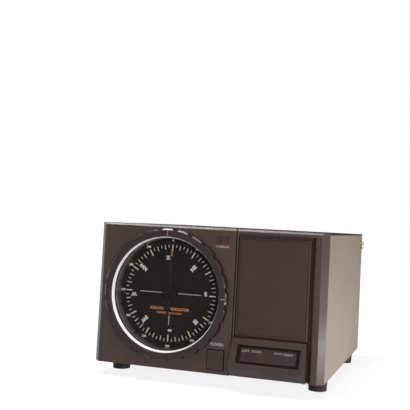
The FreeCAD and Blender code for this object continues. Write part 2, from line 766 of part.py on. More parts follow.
def bezel_posts():
    """Screw posts behind the bezel, each with its pilot hole."""
    sites = [(x, z, BEZEL_WALL, EAR_FRONT) for x, z in ear_places()]
    sites += [(x, z, BEZEL_WALL, BRACKET_FRONT) for x, z in bracket_places()]
    floor = BAY_DEPTH + BAY_FLOOR
    sites += [(x, z, floor, switch_board_front()) for x, z in switch_board_places()]
    bodies = [rod(POST_RADIUS, y0 - MERGE, y1, x, z) for x, z, y0, y1 in sites]
    depth = SCREW_GRIP + SCREW_TIP_ROOM
    holes = [rod(SCREW_HOLE, y1 - depth, y1 + CUT, x, z) for x, z, y0, y1 in sites]
    return bodies, holes


def lip_bosses():
    """Bosses on the lip for the screws from below, and their holes."""
    top = LIP_LOW + LIP_WALL + LIP_BOSS_HEIGHT
    bodies = [post(POST_RADIUS, LIP_LOW, top, x, y) for x, y in underside_places()]
    holes = [post(SCREW_HOLE, LIP_LOW - CUT, top - LIP_BOSS_ROOF, x, y)
             for x, y in underside_places()]
    return bodies, holes


def front_bezel():
    """The moulded front: panel, bay, lip and posts."""
    bay_block = box(GROOVE_LEFT - BAY_WALL, BAY_RIGHT + BAY_WALL, MERGE, BAY_DEPTH + BAY_FLOOR,
                    BEZEL_WALL - MERGE, BODY_HEIGHT - BEZEL_WALL + MERGE)
    posts, post_holes = bezel_posts()
    bosses, boss_holes = lip_bosses()
    body = fuse(bezel_block(), bezel_lip(), bay_block, *posts, *bosses)
    meter_hole = rod(SLEEVE_RADIUS + RING_FIT, -CUT, BEZEL_WALL, DIAL_X, DIAL_Z)
    groove = box(GROOVE_LEFT, GROOVE_LEFT + GROOVE_WIDTH, -CUT, GROOVE_DEPTH, -CUT,
                 BODY_HEIGHT + CUT)
    window = box(WINDOW_LEFT, WINDOW_RIGHT, -CUT, BEZEL_WALL + CUT, WINDOW_BOTTOM, WINDOW_TOP)
    button = box(BUTTON_LEFT - BUTTON_GAP, BUTTON_LEFT + BUTTON_WIDTH + BUTTON_GAP, -CUT,
                 BEZEL_WALL + CUT, BUTTON_BOTTOM - BUTTON_GAP,
                 BUTTON_BOTTOM + BUTTON_HEIGHT + BUTTON_GAP)
    floor_end = BAY_DEPTH + BAY_FLOOR + CUT
    half = FORK_WIDTH / 2 + FORK_ROOM
    low, high = fork_heights()
    lever_hole = box(KEY_X - half, KEY_X + half, BAY_DEPTH - CUT, floor_end, low - FORK_HOLE_LOW,
                     high + FORK_HOLE_HIGH)
    pegs = [rod(PEG_RADIUS + PEG_FIT, BAY_DEPTH - CUT, floor_end, x, z) for x, z in panel_pegs()]
    ring_room = rod(SLEEVE_RADIUS + RING_LIP + RING_LIP_ROOM, BEZEL_WALL, CASE_BACK, DIAL_X, DIAL_Z)
    cuts = [meter_hole, groove, window, button, lever_hole, bezel_bay_cut(), ring_room]
    return body.cut(cuts + pegs + post_holes + boss_holes)


def blank_panel():
    """The plain panel in the bay, with a bevelled border and four pegs."""
    x0, x1, z0, z1 = PANEL_LEFT, PANEL_RIGHT, PANEL_BOTTOM, PANEL_TOP
    plate = box(x0, x1, PANEL_FACE, BAY_DEPTH, z0, z1)
    front = [e for e in plate.Edges if abs(e.CenterOfMass.y - PANEL_FACE) < 0.01]
    plate = plate.makeChamfer(PANEL_BEVEL, front)
    hollow = box(x0 + PANEL_WALL, x1 - PANEL_WALL, PANEL_FACE + PANEL_WALL, BAY_DEPTH + CUT,
                 z0 + PANEL_WALL, z1 - PANEL_WALL)
    inset = PANEL_BEVEL + PANEL_BORDER
    field = inset + PANEL_GROOVE_WIDTH
    outer = box(x0 + inset, x1 - inset, PANEL_FACE - CUT, PANEL_FACE + PANEL_GROOVE_DEPTH,
                z0 + inset, z1 - inset)
    inner = box(x0 + field, x1 - field, PANEL_FACE - 2 * CUT, BAY_DEPTH, z0 + field, z1 - field)
    pegs = [rod(PEG_RADIUS, PANEL_FACE + PANEL_WALL - MERGE, BAY_DEPTH + BAY_FLOOR + PEG_END, x, z)
            for x, z in panel_pegs()]
    return fuse(plate.cut([hollow, outer.cut(inner)]), *pegs)


def housing_outline():
    """The switch housing's section, as (y, z) points."""
    return [
        (BAY_DEPTH, HOUSING_TOP), (-HOUSING_TOP_OUT, HOUSING_TOP), (-NOSE_OUT, NOSE_Z),
        (0, HOUSING_FOOT_Z), (BAY_DEPTH, HOUSING_FOOT_Z),
    ]


def switch_housing():
    """The sloped boss that holds the direction key."""
    outline = [(HOUSING_LEFT, y, z) for y, z in housing_outline()]
    outer = prism(outline, (HOUSING_RIGHT - HOUSING_LEFT, 0, 0))
    low, high = HOUSING_FOOT_Z + HOUSING_WALL, HOUSING_TOP - HOUSING_WALL
    inner_points = [
        (BAY_DEPTH + CUT, high), (-HOUSING_TOP_OUT + HOUSING_WALL, high),
        (-NOSE_OUT + NOSE_WALL_OUT, NOSE_Z + NOSE_WALL_UP), (FOOT_WALL_IN, low),
        (BAY_DEPTH + CUT, low),
    ]
    left = HOUSING_LEFT + HOUSING_WALL
    hollow = prism([(left, y, z) for y, z in inner_points],
                   (HOUSING_RIGHT - HOUSING_WALL - left, 0, 0))
    half_w, half_h = RECESS_WIDTH / 2, RECESS_HEIGHT / 2
    cup = onto_face(box(-half_w - RECESS_WALL, half_w + RECESS_WALL, MERGE,
                        RECESS_DEPTH + RECESS_WALL, -half_h - RECESS_WALL, half_h + RECESS_WALL))
    recess = onto_face(box(-half_w, half_w, -HOUSING_WALL, RECESS_DEPTH, -half_h, half_h))
    half_lever = LEVER_WIDTH / 2 + LEVER_ROOM
    lever_hole = onto_face(box(-half_lever, half_lever, 0, LEVER_LENGTH + KEY_PIVOT_DEPTH,
                               -LEVER_HEIGHT / 2 - LEVER_ROOM, LEVER_HEIGHT / 2 + LEVER_ROOM))
    body = fuse(outer.cut(hollow), cup.common(outer))
    return body.cut([recess, lever_hole, key_pin_solid(KEY_PIN_RADIUS)])


def key_pin_solid(radius):
    """The key's pivot pin, up the face and into both recess walls."""
    reach = RECESS_HEIGHT / 2 + KEY_PIN_SEAT
    pin = Part.makeCylinder(radius, 2 * reach, Vector(0, KEY_PIVOT_DEPTH, -reach), Z_AXIS)
    return onto_face(pin)


def direction_key():
    """The rocking key with its barrel and lever."""
    half_w, half_h = KEY_WIDTH / 2, KEY_HEIGHT / 2
    cap = box(-half_w, half_w, KEY_SINK, KEY_SINK + KEY_THICKNESS, -half_h, half_h)
    front = [e for e in cap.Edges if abs(e.CenterOfMass.y - KEY_SINK) < 0.01]
    cap = cap.makeChamfer(KEY_EDGE, front)
    barrel = Part.makeCylinder(KEY_BARREL_RADIUS, 2 * half_h, Vector(0, KEY_PIVOT_DEPTH, -half_h),
                               Z_AXIS)
    lever = box(-LEVER_WIDTH / 2, LEVER_WIDTH / 2, KEY_PIVOT_DEPTH,
                KEY_PIVOT_DEPTH + LEVER_LENGTH, -LEVER_HEIGHT / 2, LEVER_HEIGHT / 2)
    bore = Part.makeCylinder(KEY_PIN_RADIUS + SHAFT_FIT, 2 * (half_h + CUT),
                             Vector(0, KEY_PIVOT_DEPTH, -half_h - CUT), Z_AXIS)
    return onto_face(fuse(cap, barrel, lever).cut(bore))


def fork_heights():
    """The Z of the fork's underside and top."""
    return FORK_MIDDLE_Z - FORK_HEIGHT / 2, FORK_MIDDLE_Z + FORK_HEIGHT / 2


def direction_slider():
    """The switch slider: a fork round the key's lever, with a stem."""
    low, high = fork_heights()
    half, gap = FORK_WIDTH / 2, LEVER_WIDTH / 2 + FORK_FIT
    half_w, half_h = STEM_WIDTH / 2, STEM_HEIGHT / 2
    floor = FORK_BACK - FORK_FLOOR
    head = box(KEY_X - half, KEY_X + half, FORK_FRONT, FORK_BACK, low, high)
    slot = box(KEY_X - gap, KEY_X + gap, FORK_FRONT - CUT, floor, low - CUT, high + CUT)
    stem = box(KEY_X - half_w, KEY_X + half_w, floor, FORK_BACK + STEM_LENGTH,
               FORK_MIDDLE_Z - half_h, FORK_MIDDLE_Z + half_h)
    return fuse(head.cut(slot), stem)


def direction_switch_body():
    """The slide switch's case, with the track for the stem."""
    front = switch_front()
    half_w, half_h = SWITCH_WIDTH / 2, SWITCH_HEIGHT / 2
    case = box(KEY_X - half_w, KEY_X + half_w, front, front + SWITCH_DEPTH,
               FORK_MIDDLE_Z - half_h, FORK_MIDDLE_Z + half_h)
    reach = STEM_WIDTH / 2 + SLIDER_TRAVEL + SLIDE_FIT
    rise = STEM_HEIGHT / 2 + SLIDE_FIT
    track = box(KEY_X - reach, KEY_X + reach, front - CUT, FORK_BACK + STEM_LENGTH + SLIDE_FIT,
                FORK_MIDDLE_Z - rise, FORK_MIDDLE_Z + rise)
    return case.cut(track)


def switch_board():
    """The small upright board behind the direction switch."""
    y = switch_board_front()
    plate = box(KEY_X - SWITCH_BOARD_WIDTH / 2, KEY_X + SWITCH_BOARD_WIDTH / 2, y,
                y + BOARD_THICKNESS, SWITCH_BOARD_BOTTOM, SWITCH_BOARD_TOP)
    holes = [rod(SCREW_HOLE, y - CUT, y + BOARD_THICKNESS + CUT, x, z)
             for x, z in switch_board_places()]
    return plate.cut(holes)


def index_ring():
    """The turning ring: tapered bore, fluted rim, sleeve and snap lip."""
    back = -RING_GAP
    lip = BEZEL_WALL + RING_LIP_GAP
    end = lip + RING_LIP_THICKNESS
    profile = [
        (RING_FRONT_BORE, -RING_OUT), (RING_RADIUS - RING_EDGE, -RING_OUT),
        (RING_RADIUS, -RING_OUT + RING_EDGE), (RING_RADIUS, back), (SLEEVE_RADIUS, back),
        (SLEEVE_RADIUS, lip), (SLEEVE_RADIUS + RING_LIP, lip), (SLEEVE_RADIUS + RING_LIP, end),
        (SLEEVE_BORE, end), (SLEEVE_BORE, SLEEVE_SHELF),
        (RING_REAR_BORE, SLEEVE_SHELF - SLEEVE_SHELF_FALL),
    ]
    ring = turned(profile, DIAL_X, DIAL_Z)
    reach = RING_RADIUS + FLUTE_RADIUS - FLUTE_DEPTH
    flutes = []
    for i in range(RING_FLUTES):
        turn = 2 * math.pi * (i + 0.5) / RING_FLUTES
        flutes.append(rod(FLUTE_RADIUS, -RING_OUT - CUT, 0, DIAL_X + reach * math.cos(turn),
                          DIAL_Z + reach * math.sin(turn)))
    return ring.cut(flutes)


def meter_rim():
    """The tapered rim between the lens and the dial."""
    step = RIM_FRONT + LENS_THICKNESS
    profile = [
        (LENS_RADIUS, RIM_FRONT), (RIM_RADIUS, RIM_FRONT), (RIM_RADIUS, RIM_REAR),
        (RIM_REAR_BORE, RIM_REAR), (RING_REAR_BORE - RIM_SHELF_INSET, step), (LENS_RADIUS, step),
    ]
    return turned(profile, DIAL_X, DIAL_Z)


def meter_lens():
    """The clear window over the dial."""
    return rod(LENS_RADIUS - LENS_FIT, RIM_FRONT, RIM_FRONT + LENS_THICKNESS, DIAL_X, DIAL_Z)


def dial_plate():
    """The dial, held between the rim and the case."""
    plate = rod(DIAL_RADIUS, DIAL_FRONT, CASE_FRONT, DIAL_X, DIAL_Z)
    return plate.cut(rod(DIAL_HOLE, DIAL_FRONT - CUT, CASE_FRONT + CUT, DIAL_X, DIAL_Z))


def lamp_places():
    """The two dial lamps, left and right of the movement."""
    return [(DIAL_X - LAMP_OFFSET, DIAL_Z), (DIAL_X + LAMP_OFFSET, DIAL_Z)]


def meter_case():
    """The meter's cup, with three ears that screw to the bezel."""
    floor = CASE_BACK - CASE_BACK_WALL
    ears = []
    for (x, z), angle in zip(ear_places(), EAR_ANGLES):
        half = EAR_WIDTH / 2
        bar = box(CASE_RADIUS - CASE_WALL, EAR_REACH, EAR_FRONT, EAR_FRONT + EAR_THICKNESS, -half,
                  half)
        bar.rotate(Vector(0, 0, 0), Y_AXIS, -angle)
        bar.translate(Vector(DIAL_X, 0, DIAL_Z))
        ears.append(bar.fuse(rod(half, EAR_FRONT, EAR_FRONT + EAR_THICKNESS, x, z)))
    holes = [rod(SCREW_HOLE, EAR_FRONT - CUT, EAR_FRONT + EAR_THICKNESS + CUT, x, z)
             for x, z in ear_places()]
    holes += [rod(LAMP_BASE_RADIUS, floor - CUT, CASE_BACK + CUT, x, z) for x, z in lamp_places()]
    cup = fuse(rod(CASE_RADIUS, CASE_FRONT, CASE_BACK, DIAL_X, DIAL_Z), *ears)
    hollow = rod(CASE_RADIUS - CASE_WALL, CASE_FRONT - CUT, floor, DIAL_X, DIAL_Z)
    return cup.cut([hollow] + holes)


def dial_lamps():
    """Two small lamps in the case's back wall."""
    front = CASE_BACK - LAMP_LENGTH
    lamps = []
    for x, z in lamp_places():
        bulb = rod(LAMP_RADIUS, front, CASE_BACK, x, z)
        dome = Part.makeSphere(LAMP_RADIUS, Vector(x, front, z))
        base = rod(LAMP_BASE_RADIUS, CASE_BACK - CASE_BACK_WALL - LAMP_BASE_DEPTH,
                   CASE_BACK + LAMP_TAIL, x, z)
        lamps.append(fuse(bulb, dome, base))
    return group(lamps)


def pointer():
    """The pointer, resting at the top of the dial."""
    half, tip = POINTER_WIDTH / 2, POINTER_TIP_WIDTH / 2
    low, high = DIAL_Z - POINTER_TAIL, DIAL_Z + POINTER_REACH
    shoulder = high - POINTER_TIP_LENGTH
    outline = [(-half, low), (half, low), (half, shoulder), (tip, high), (-tip, high),
               (-half, shoulder)]
    blade = prism([(DIAL_X + x, POINTER_FRONT, z) for x, z in outline], (0, POINTER_THICKNESS, 0))
    rear = POINTER_FRONT + POINTER_THICKNESS
    middle = rod(BLADE_DISC_RADIUS, POINTER_FRONT, rear, DIAL_X, DIAL_Z)
    bore = rod(SHAFT_RADIUS, POINTER_FRONT - CUT, rear + CUT, DIAL_X, DIAL_Z)
    return blade.fuse(middle).removeSplitter().cut(bore)


def pointer_hub():
    """The round cap over the pointer's middle."""
    profile = [
        (0, HUB_FRONT), (HUB_RADIUS - HUB_EDGE, HUB_FRONT), (HUB_RADIUS, HUB_FRONT + HUB_EDGE),
        (HUB_RADIUS, POINTER_FRONT), (0, POINTER_FRONT),
    ]
    return turned(profile, DIAL_X, DIAL_Z)


def magnet_front():
    """The Y of the rotor magnet's front."""
    return FORMER_FRONT + FORMER_LENGTH / 2 - MAGNET_LENGTH / 2


def front_bush_start():
    """The Y of the front bush."""
    return FORMER_FRONT - FORMER_BOSS_REACH


def rear_bush_start():
    """The Y of the rear bush."""
    return magnet_front() + MAGNET_LENGTH + MAGNET_ROOM


def pointer_shaft():
    """The pointer's shaft with the collar behind the pointer."""
    rear = rear_bush_start() + BUSH_LENGTH
    shaft = rod(SHAFT_RADIUS, POINTER_FRONT, rear, DIAL_X, DIAL_Z)
    start = POINTER_FRONT + POINTER_THICKNESS
    collar = rod(COLLAR_RADIUS, start, start + COLLAR_LENGTH, DIAL_X, DIAL_Z)
    return fuse(shaft, collar)


def rotor_magnet():
    """The round magnet that the crossed coils turn."""
    start = magnet_front()
    disc = rod(MAGNET_RADIUS, start, start + MAGNET_LENGTH, DIAL_X, DIAL_Z)
    return disc.cut(rod(SHAFT_RADIUS, start - CUT, start + MAGNET_LENGTH + CUT, DIAL_X, DIAL_Z))


def bush_starts():
    """The Y where each bush starts."""
    return (front_bush_start(), rear_bush_start())


def bearing_bushes():
    """The shaft's two bushes."""
    bushes = []
    for start in bush_starts():
        body = rod(BUSH_RADIUS, start, start + BUSH_LENGTH, DIAL_X, DIAL_Z)
        bore = rod(SHAFT_RADIUS + SHAFT_FIT, start - CUT, start + BUSH_LENGTH + CUT, DIAL_X, DIAL_Z)
        bushes.append(body.cut(bore))
    return group(bushes)


def coil_former():
    """The coil former in two halves, with a boss at each end."""
    end = FORMER_FRONT + FORMER_LENGTH
    back = CASE_BACK - CASE_BACK_WALL
    core = fuse(rod(FORMER_RADIUS, FORMER_FRONT, end, DIAL_X, DIAL_Z),
                rod(FORMER_BOSS_RADIUS, FORMER_FRONT - FORMER_BOSS_REACH, back, DIAL_X, DIAL_Z))
    room = rod(MAGNET_RADIUS + MAGNET_ROOM, magnet_front() - MAGNET_ROOM,
               magnet_front() + MAGNET_LENGTH + MAGNET_ROOM, DIAL_X, DIAL_Z)
    bores = [rod(BUSH_RADIUS, start, start + BUSH_LENGTH, DIAL_X, DIAL_Z)
             for start in bush_starts()]
    bores.append(rod(SHAFT_RADIUS + SHAFT_ROOM, FORMER_FRONT - FORMER_BOSS_REACH,
                     rear_bush_start() + BUSH_LENGTH + CUT, DIAL_X, DIAL_Z))
    core = core.cut([room] + bores)
    middle = FORMER_FRONT + FORMER_LENGTH / 2
    reach = FORMER_RADIUS + CUT
    halves = [
        core.common(box(DIAL_X - reach, DIAL_X + reach, y0, y1, DIAL_Z - reach, DIAL_Z + reach))
        for y0, y1 in ((0, middle), (middle, CASE_BACK))
    ]
    return group(halves)


def winding(level, across):
    """One pair of flat coils round the former, at a level of build."""
    inner = FORMER_RADIUS + COIL_GAP + level * (COIL_WALL + COIL_GAP)
    front = FORMER_FRONT - COIL_GAP - level * (COIL_WALL + COIL_GAP)
    back = FORMER_FRONT + FORMER_LENGTH + COIL_GAP + level * (COIL_WALL + COIL_GAP)
    coils = []
    for side in (COIL_SPLIT, -COIL_SPLIT - COIL_WIDTH):
        outer = box(-inner - COIL_WALL, inner + COIL_WALL, front - COIL_WALL, back + COIL_WALL,
                    side, side + COIL_WIDTH)
        hole = box(-inner, inner, front, back, side - CUT, side + COIL_WIDTH + CUT)
        loop = outer.cut(hole)
        if across:
            loop.rotate(Vector(0, 0, 0), Y_AXIS, 90)
        loop.translate(Vector(DIAL_X, 0, DIAL_Z))
        coils.append(loop)
    return coils


def crossed_windings():
    """The two crossed windings."""
    return group(winding(0, False) + winding(1, True))


def overlap_window():
    """The dark frame of the overlap lamp, with the lens's opening."""
    frame = box(WINDOW_LEFT, WINDOW_RIGHT, WINDOW_SINK, BEZEL_WALL, WINDOW_BOTTOM, WINDOW_TOP)
    lens = window_lens_box(-CUT, WINDOW_LENS_BACK)
    x, z = window_centre()
    end = led_flange_front()
    collar = rod(LED_RADIUS + LED_COLLAR_WALL, BEZEL_WALL - MERGE, end, x, z)
    hole = rod(LED_RADIUS + SHAFT_FIT, 0, end + CUT, x, z)
    return fuse(frame, collar).cut([lens, hole])


def window_centre():
    """The middle of the overlap lamp's lens, as (x, z)."""
    return (WINDOW_LENS_LEFT + WINDOW_LENS_RIGHT) / 2, (WINDOW_LENS_BOTTOM + WINDOW_LENS_TOP) / 2


def window_lens_box(y0, y1):
    """A box of the overlap lens's outline."""
    return box(WINDOW_LENS_LEFT, WINDOW_LENS_RIGHT, y0, y1, WINDOW_LENS_BOTTOM, WINDOW_LENS_TOP)


def overlap_lens():
    """The red lens of the overlap lamp."""
    return window_lens_box(WINDOW_LENS_BACK - LENS_PLATE, WINDOW_LENS_BACK)


def led_flange_front():
    """The Y where the diode's flange meets the window's collar."""
    return BEZEL_WALL + LED_COLLAR_LENGTH


def overlap_led():
    """The lamp's light-emitting diode."""
    x, z = window_centre()
    front = WINDOW_LENS_BACK + LED_GAP
    tip = front + LED_RADIUS
    flange = led_flange_front()
    body = fuse(rod(LED_RADIUS, tip, front + LED_LENGTH, x, z),
                Part.makeSphere(LED_RADIUS, Vector(x, tip, z)),
                rod(LED_FLANGE, flange, flange + LED_FLANGE_THICKNESS, x, z))
    legs = [rod(LED_LEG_RADIUS, flange, flange + LED_LEG_LENGTH, x + side, z)
            for side in (-LED_LEG_SPREAD, LED_LEG_SPREAD)]
    return fuse(body, *legs)


def power_button():
    """The power button's cap, hollow behind."""
    x0, z0 = BUTTON_LEFT, BUTTON_BOTTOM
    x1, z1 = x0 + BUTTON_WIDTH, z0 + BUTTON_HEIGHT
    cap = box(x0, x1, -BUTTON_OUT, BUTTON_REAR, z0, z1)
    front = [e for e in cap.Edges if abs(e.CenterOfMass.y + BUTTON_OUT) < 0.01]
    cap = cap.makeChamfer(BUTTON_EDGE, front)
    hollow = box(x0 + BUTTON_WALL, x1 - BUTTON_WALL, -BUTTON_OUT + BUTTON_WALL, BUTTON_REAR + CUT,
                 z0 + BUTTON_WALL, z1 - BUTTON_WALL)
    return cap.cut(hollow)


def power_plunger():
    """The square plunger from the cap into the switch."""
    half = PLUNGER_SIZE / 2
    return box(BUTTON_X - half, BUTTON_X + half, -BUTTON_OUT + BUTTON_WALL, PLUNGER_REAR,
               BUTTON_Z - half, BUTTON_Z + half)


def power_switch_body():
    """The power switch's case, with the plunger's square bore."""
    half = POWER_SWITCH_SIZE / 2
    case = box(BUTTON_X - half, BUTTON_X + half, POWER_SWITCH_FRONT, POWER_SWITCH_REAR,
               BUTTON_Z - half, BUTTON_Z + half)
    bore = PLUNGER_SIZE / 2 + PLUNGER_FIT
    room = box(BUTTON_X - bore, BUTTON_X + bore, POWER_SWITCH_FRONT - CUT,
               POWER_SWITCH_REAR - POWER_SWITCH_WALL, BUTTON_Z - bore, BUTTON_Z + bore)
    wide, thick = TAG_WIDTH / 2, TAG_THICKNESS / 2
    places = [(BUTTON_X + i * TAG_SPREAD, BUTTON_Z + j * TAG_SPREAD)
              for i in (-1, 1) for j in (-1, 1)]
    tags = [box(x - wide, x + wide, POWER_SWITCH_REAR - MERGE, POWER_SWITCH_REAR + TAG_LENGTH,
                z - thick, z + thick) for x, z in places]
    return fuse(case.cut(room), *tags)


def switch_bracket():
    """The sheet bracket that holds the power switch on two posts."""
    (x0, z0), (x1, z1) = bracket_places()
    y0, y1 = BRACKET_FRONT, POWER_SWITCH_FRONT
    half = POWER_SWITCH_SIZE / 2 + BRACKET_SHELF_FIT
    r = POST_RADIUS
    outline = [(x0 - r, z0 - r), (x1 + r, z0 - r), (x1 + r, z1 + r), (x1 - r, z1 + r),
               (x0 - r, z0 + r)]
    plate = prism([(x, y0, z) for x, z in outline], (0, y1 - y0, 0))
    shelf = box(BUTTON_X - half, BUTTON_X + half, y1 - MERGE,
                POWER_SWITCH_REAR - BRACKET_SHELF_SHORT, BUTTON_Z + half,
                BUTTON_Z + half + BRACKET_SHEET)
    hole_half = BRACKET_HOLE / 2
    hole = box(BUTTON_X - hole_half, BUTTON_X + hole_half, y0 - CUT, y1 + CUT,
               BUTTON_Z - hole_half, BUTTON_Z + hole_half)
    holes = [rod(SCREW_HOLE, y0 - CUT, y1 + CUT, x, z) for x, z in bracket_places()]
    return fuse(plate, shelf).cut([hole] + holes)


def power_spring():
    """The return spring: one wire along a helix of quarter-turn arcs."""
    start = -BUTTON_OUT + BUTTON_WALL + SPRING_WIRE
    end = BRACKET_FRONT - SPRING_WIRE
    steps = SPRING_TURNS * 4
    pitch = (end - start) / steps

    def point(step):
        """A point of the helix at a step of a quarter turn."""
        turn = step * math.pi / 2
        return Vector(BUTTON_X + SPRING_RADIUS * math.cos(turn), start + pitch * step,
                      BUTTON_Z + SPRING_RADIUS * math.sin(turn))

    arcs = [Part.Arc(point(i), point(i + 0.5), point(i + 1)).toShape() for i in range(steps)]
    path = Part.Wire(arcs)
    tangent = arcs[0].tangentAt(arcs[0].FirstParameter)
    circle = Part.Wire(Part.makeCircle(SPRING_WIRE / 2, point(0), tangent))
    return path.makePipeShell([circle], True, False)


def base_pan():
    """The folded base: floor, side and rear flanges, and board pips."""
    low, top = SHEET - MERGE, SHEET + FLANGE_DEPTH
    end = REAR_INNER - BEND_GAP
    floor = box(-SIDE_INNER, SIDE_INNER, CABINET_FRONT, REAR_INNER, 0, SHEET)
    left = box(-SIDE_INNER, -FLANGE_INNER, SHEET_START, end, low, top)
    right = box(FLANGE_INNER, SIDE_INNER, SHEET_START, end, low, top)
    rear = box(-REAR_FLANGE_REACH, REAR_FLANGE_REACH, REAR_INNER - SHEET, REAR_INNER, low, top)
    pips = [post(PIP_RADIUS, low, SHEET + BOARD_HEIGHT, x, y) for x, y in board_places()]
    sites = list(foot_places().values()) + underside_places() + transformer_places()
    sites += clamp_places()
    holes = [post(SCREW_HOLE, -CUT, SHEET + CUT, x, y) for x, y in sites]
    holes += [post(SCREW_HOLE, PIP_WALL + SHEET, SHEET + BOARD_HEIGHT + CUT, x, y)
              for x, y in board_places()]
    return fuse(floor, left, right, rear, *pips).cut(holes + rear_flange_holes() + vent_slots())


def rear_flange_holes():
    """The rear panel's screw holes through the flanges of the base and the lid."""
    return [rod(SCREW_HOLE, REAR_INNER - SHEET - CUT, REAR_INNER + CUT, x, z)
            for x, z in rear_screw_places()]


def vent_slots():
    """Two rows of cooling slots in front of and behind the transformer."""
    half_w, half_l = VENT_WIDTH / 2, VENT_LENGTH / 2
    slots = []
    for row in (-1, 1):
        y = TRANSFORMER_Y + row * (COIL_REACH - COIL_FIT + VENT_COIL_GAP)
        for i in range(VENT_COUNT):
            x = TRANSFORMER_X + (i - (VENT_COUNT - 1) / 2) * VENT_PITCH
            slots.append(box(x - half_w, x + half_w, y - half_l, y + half_l, -CUT, SHEET + CUT))
    return slots


def side_panel(side):
    """One side panel; side is -1 for the left and 1 for the right."""
    plate = box(SIDE_INNER, HALF_WIDTH, CABINET_FRONT, REAR_INNER, 0, LID_Z)
    hole = side_rod(SCREW_HOLE, SIDE_INNER - CUT, HALF_WIDTH + CUT, side_screw_y(), SIDE_SCREW_Z)
    plate = plate.cut(hole)
    return plate if side > 0 else plate.mirror(Vector(0, 0, 0), X_AXIS)


def top_cover():
    """The dark lid with side flanges and a rear flange for two screws."""
    plate = box(-HALF_WIDTH, HALF_WIDTH, CABINET_FRONT, BODY_DEPTH, LID_Z, BODY_HEIGHT)
    low = LID_Z - LID_FLANGE
    end = REAR_INNER - FLANGE_DEPTH - FLANGE_GAP
    top = LID_Z + MERGE
    sides = [box(x, x + SHEET, SHEET_START, end, low, top) for x in (-SIDE_INNER, FLANGE_INNER)]
    rear = box(-REAR_FLANGE_REACH, REAR_FLANGE_REACH, REAR_INNER - SHEET, REAR_INNER,
               LID_Z - FLANGE_DEPTH, top)
    return fuse(plate, rear, *sides).cut(rear_flange_holes())


def rear_panel():
    """The rear panel, with side flanges and the holes for its fittings."""
    plate = box(-HALF_WIDTH, HALF_WIDTH, REAR_INNER, REAR_FACE, 0, LID_Z)
    low = SHEET + FLANGE_DEPTH + FLANGE_GAP
    high = LID_Z - LID_FLANGE - LID_FLANGE_GAP
    front = REAR_INNER - FLANGE_DEPTH
    flanges = [box(x, x + SHEET, front, REAR_INNER + MERGE, low, high)
               for x in (-SIDE_INNER, FLANGE_INNER)]
    cuts = [side_rod(SCREW_HOLE, x - CUT, x + SHEET + CUT, side_screw_y(), SIDE_SCREW_Z)
            for x in (-SIDE_INNER, FLANGE_INNER)]
    y0, y1 = REAR_INNER - CUT, REAR_FACE + CUT
    cuts += [rod(SCREW_HOLE, y0, y1, x, z) for x, z in rear_screw_places()]
    cuts.append(rod(SOCKET_BODY_RADIUS, y0, y1, SOCKET_X, SOCKET_Z))
    cuts.append(rod(FUSE_BODY_RADIUS, y0, y1, FUSE_X, FUSE_Z))
    cuts.append(rod(ADJUSTER_HOLE, y0, y1, ADJUSTER_X, adjuster_z()))
    cuts.append(rod(GROUND_RADIUS, y0, y1, GROUND_X, GROUND_Z))
    cuts.append(inlet_outline(INLET_WALL, y0, y1))
    fitting_screws = socket_screw_places() + inlet_screw_places()
    cuts += [rod(SCREW_RADIUS, y0, y1, x, z) for x, z in fitting_screws]
    return fuse(plate, *flanges).cut(cuts)


def side_screws():
    """The two bright screws near the cabinet's rear top corners."""
    screws = []
    for side in (-1, 1):
        seat = side * HALF_WIDTH
        tip = side * (HALF_WIDTH - SIDE_SCREW_LENGTH)
        axis = Vector(side, 0, 0)
        screws.append(screw((tip, side_screw_y(), SIDE_SCREW_Z), (seat, side_screw_y(), SIDE_SCREW_Z),
                            axis, SCREW_RADIUS, SIDE_SCREW_HEAD_RADIUS, SIDE_SCREW_HEAD_HEIGHT))
    return group(screws)


def rear_screws():
    """The rear panel's screws and the fittings' screws."""
    screws = [screw((x, REAR_FACE - REAR_SCREW_LENGTH, z), (x, REAR_FACE, z), Y_AXIS)
              for x, z in rear_screw_places()]
    tip = REAR_INNER - PANEL_SCREW_TAIL
    seat = REAR_FACE + SOCKET_FLANGE_SHEET
    screws += [screw((x, tip, z), (x, seat, z), Y_AXIS) for x, z in socket_screw_places()]
    seat = REAR_FACE + INLET_FLANGE_SHEET
    screws += [screw((x, tip, z), (x, seat, z), Y_AXIS) for x, z in inlet_screw_places()]
    return group(screws)


def underside_screws():
    """Screws up through the base: four in the feet, two into the bezel's lip."""
    down = Vector(0, 0, -1)
    screws = []
    for x, y in foot_places().values():
        seat = -FOOT_HEIGHT + FOOT_RECESS_DEPTH
        bolt = screw((x, y, SHEET + NUT_HEIGHT + NUT_SCREW_END), (x, y, seat), down)
        nut = hexagon(NUT_RADIUS, SHEET, SHEET + NUT_HEIGHT, x, y)
        screws.append(bolt.fuse(nut))
    for x, y in underside_places():
        screws.append(screw((x, y, LIP_LOW + LIP_BOSS_HEIGHT), (x, y, 0), down))
    return group(screws)


def inner_screws():
    """Screws inside: meter, bracket, switch board, main board, frame and clamp."""
    along = [(x, z, EAR_FRONT, EAR_FRONT + EAR_THICKNESS) for x, z in ear_places()]
    along += [(x, z, BRACKET_FRONT, POWER_SWITCH_FRONT) for x, z in bracket_places()]
    board = switch_board_front()
    along += [(x, z, board, board + BOARD_THICKNESS) for x, z in switch_board_places()]
    screws = [screw((x, y0 - SCREW_GRIP, z), (x, y1, z), Y_AXIS) for x, z, y0, y1 in along]
    upright = [(x, y, BOARD_TOP - BOARD_SCREW_GRIP, BOARD_TOP) for x, y in board_places()]
    upright += [(x, y, 0, SHEET + STRAP) for x, y in transformer_places()]
    upright += [(x, y, 0, SHEET + CLAMP_SHEET) for x, y in clamp_places()]
    screws += [screw((x, y, z0), (x, y, z1), Z_AXIS) for x, y, z0, z1 in upright]
    return group(screws)


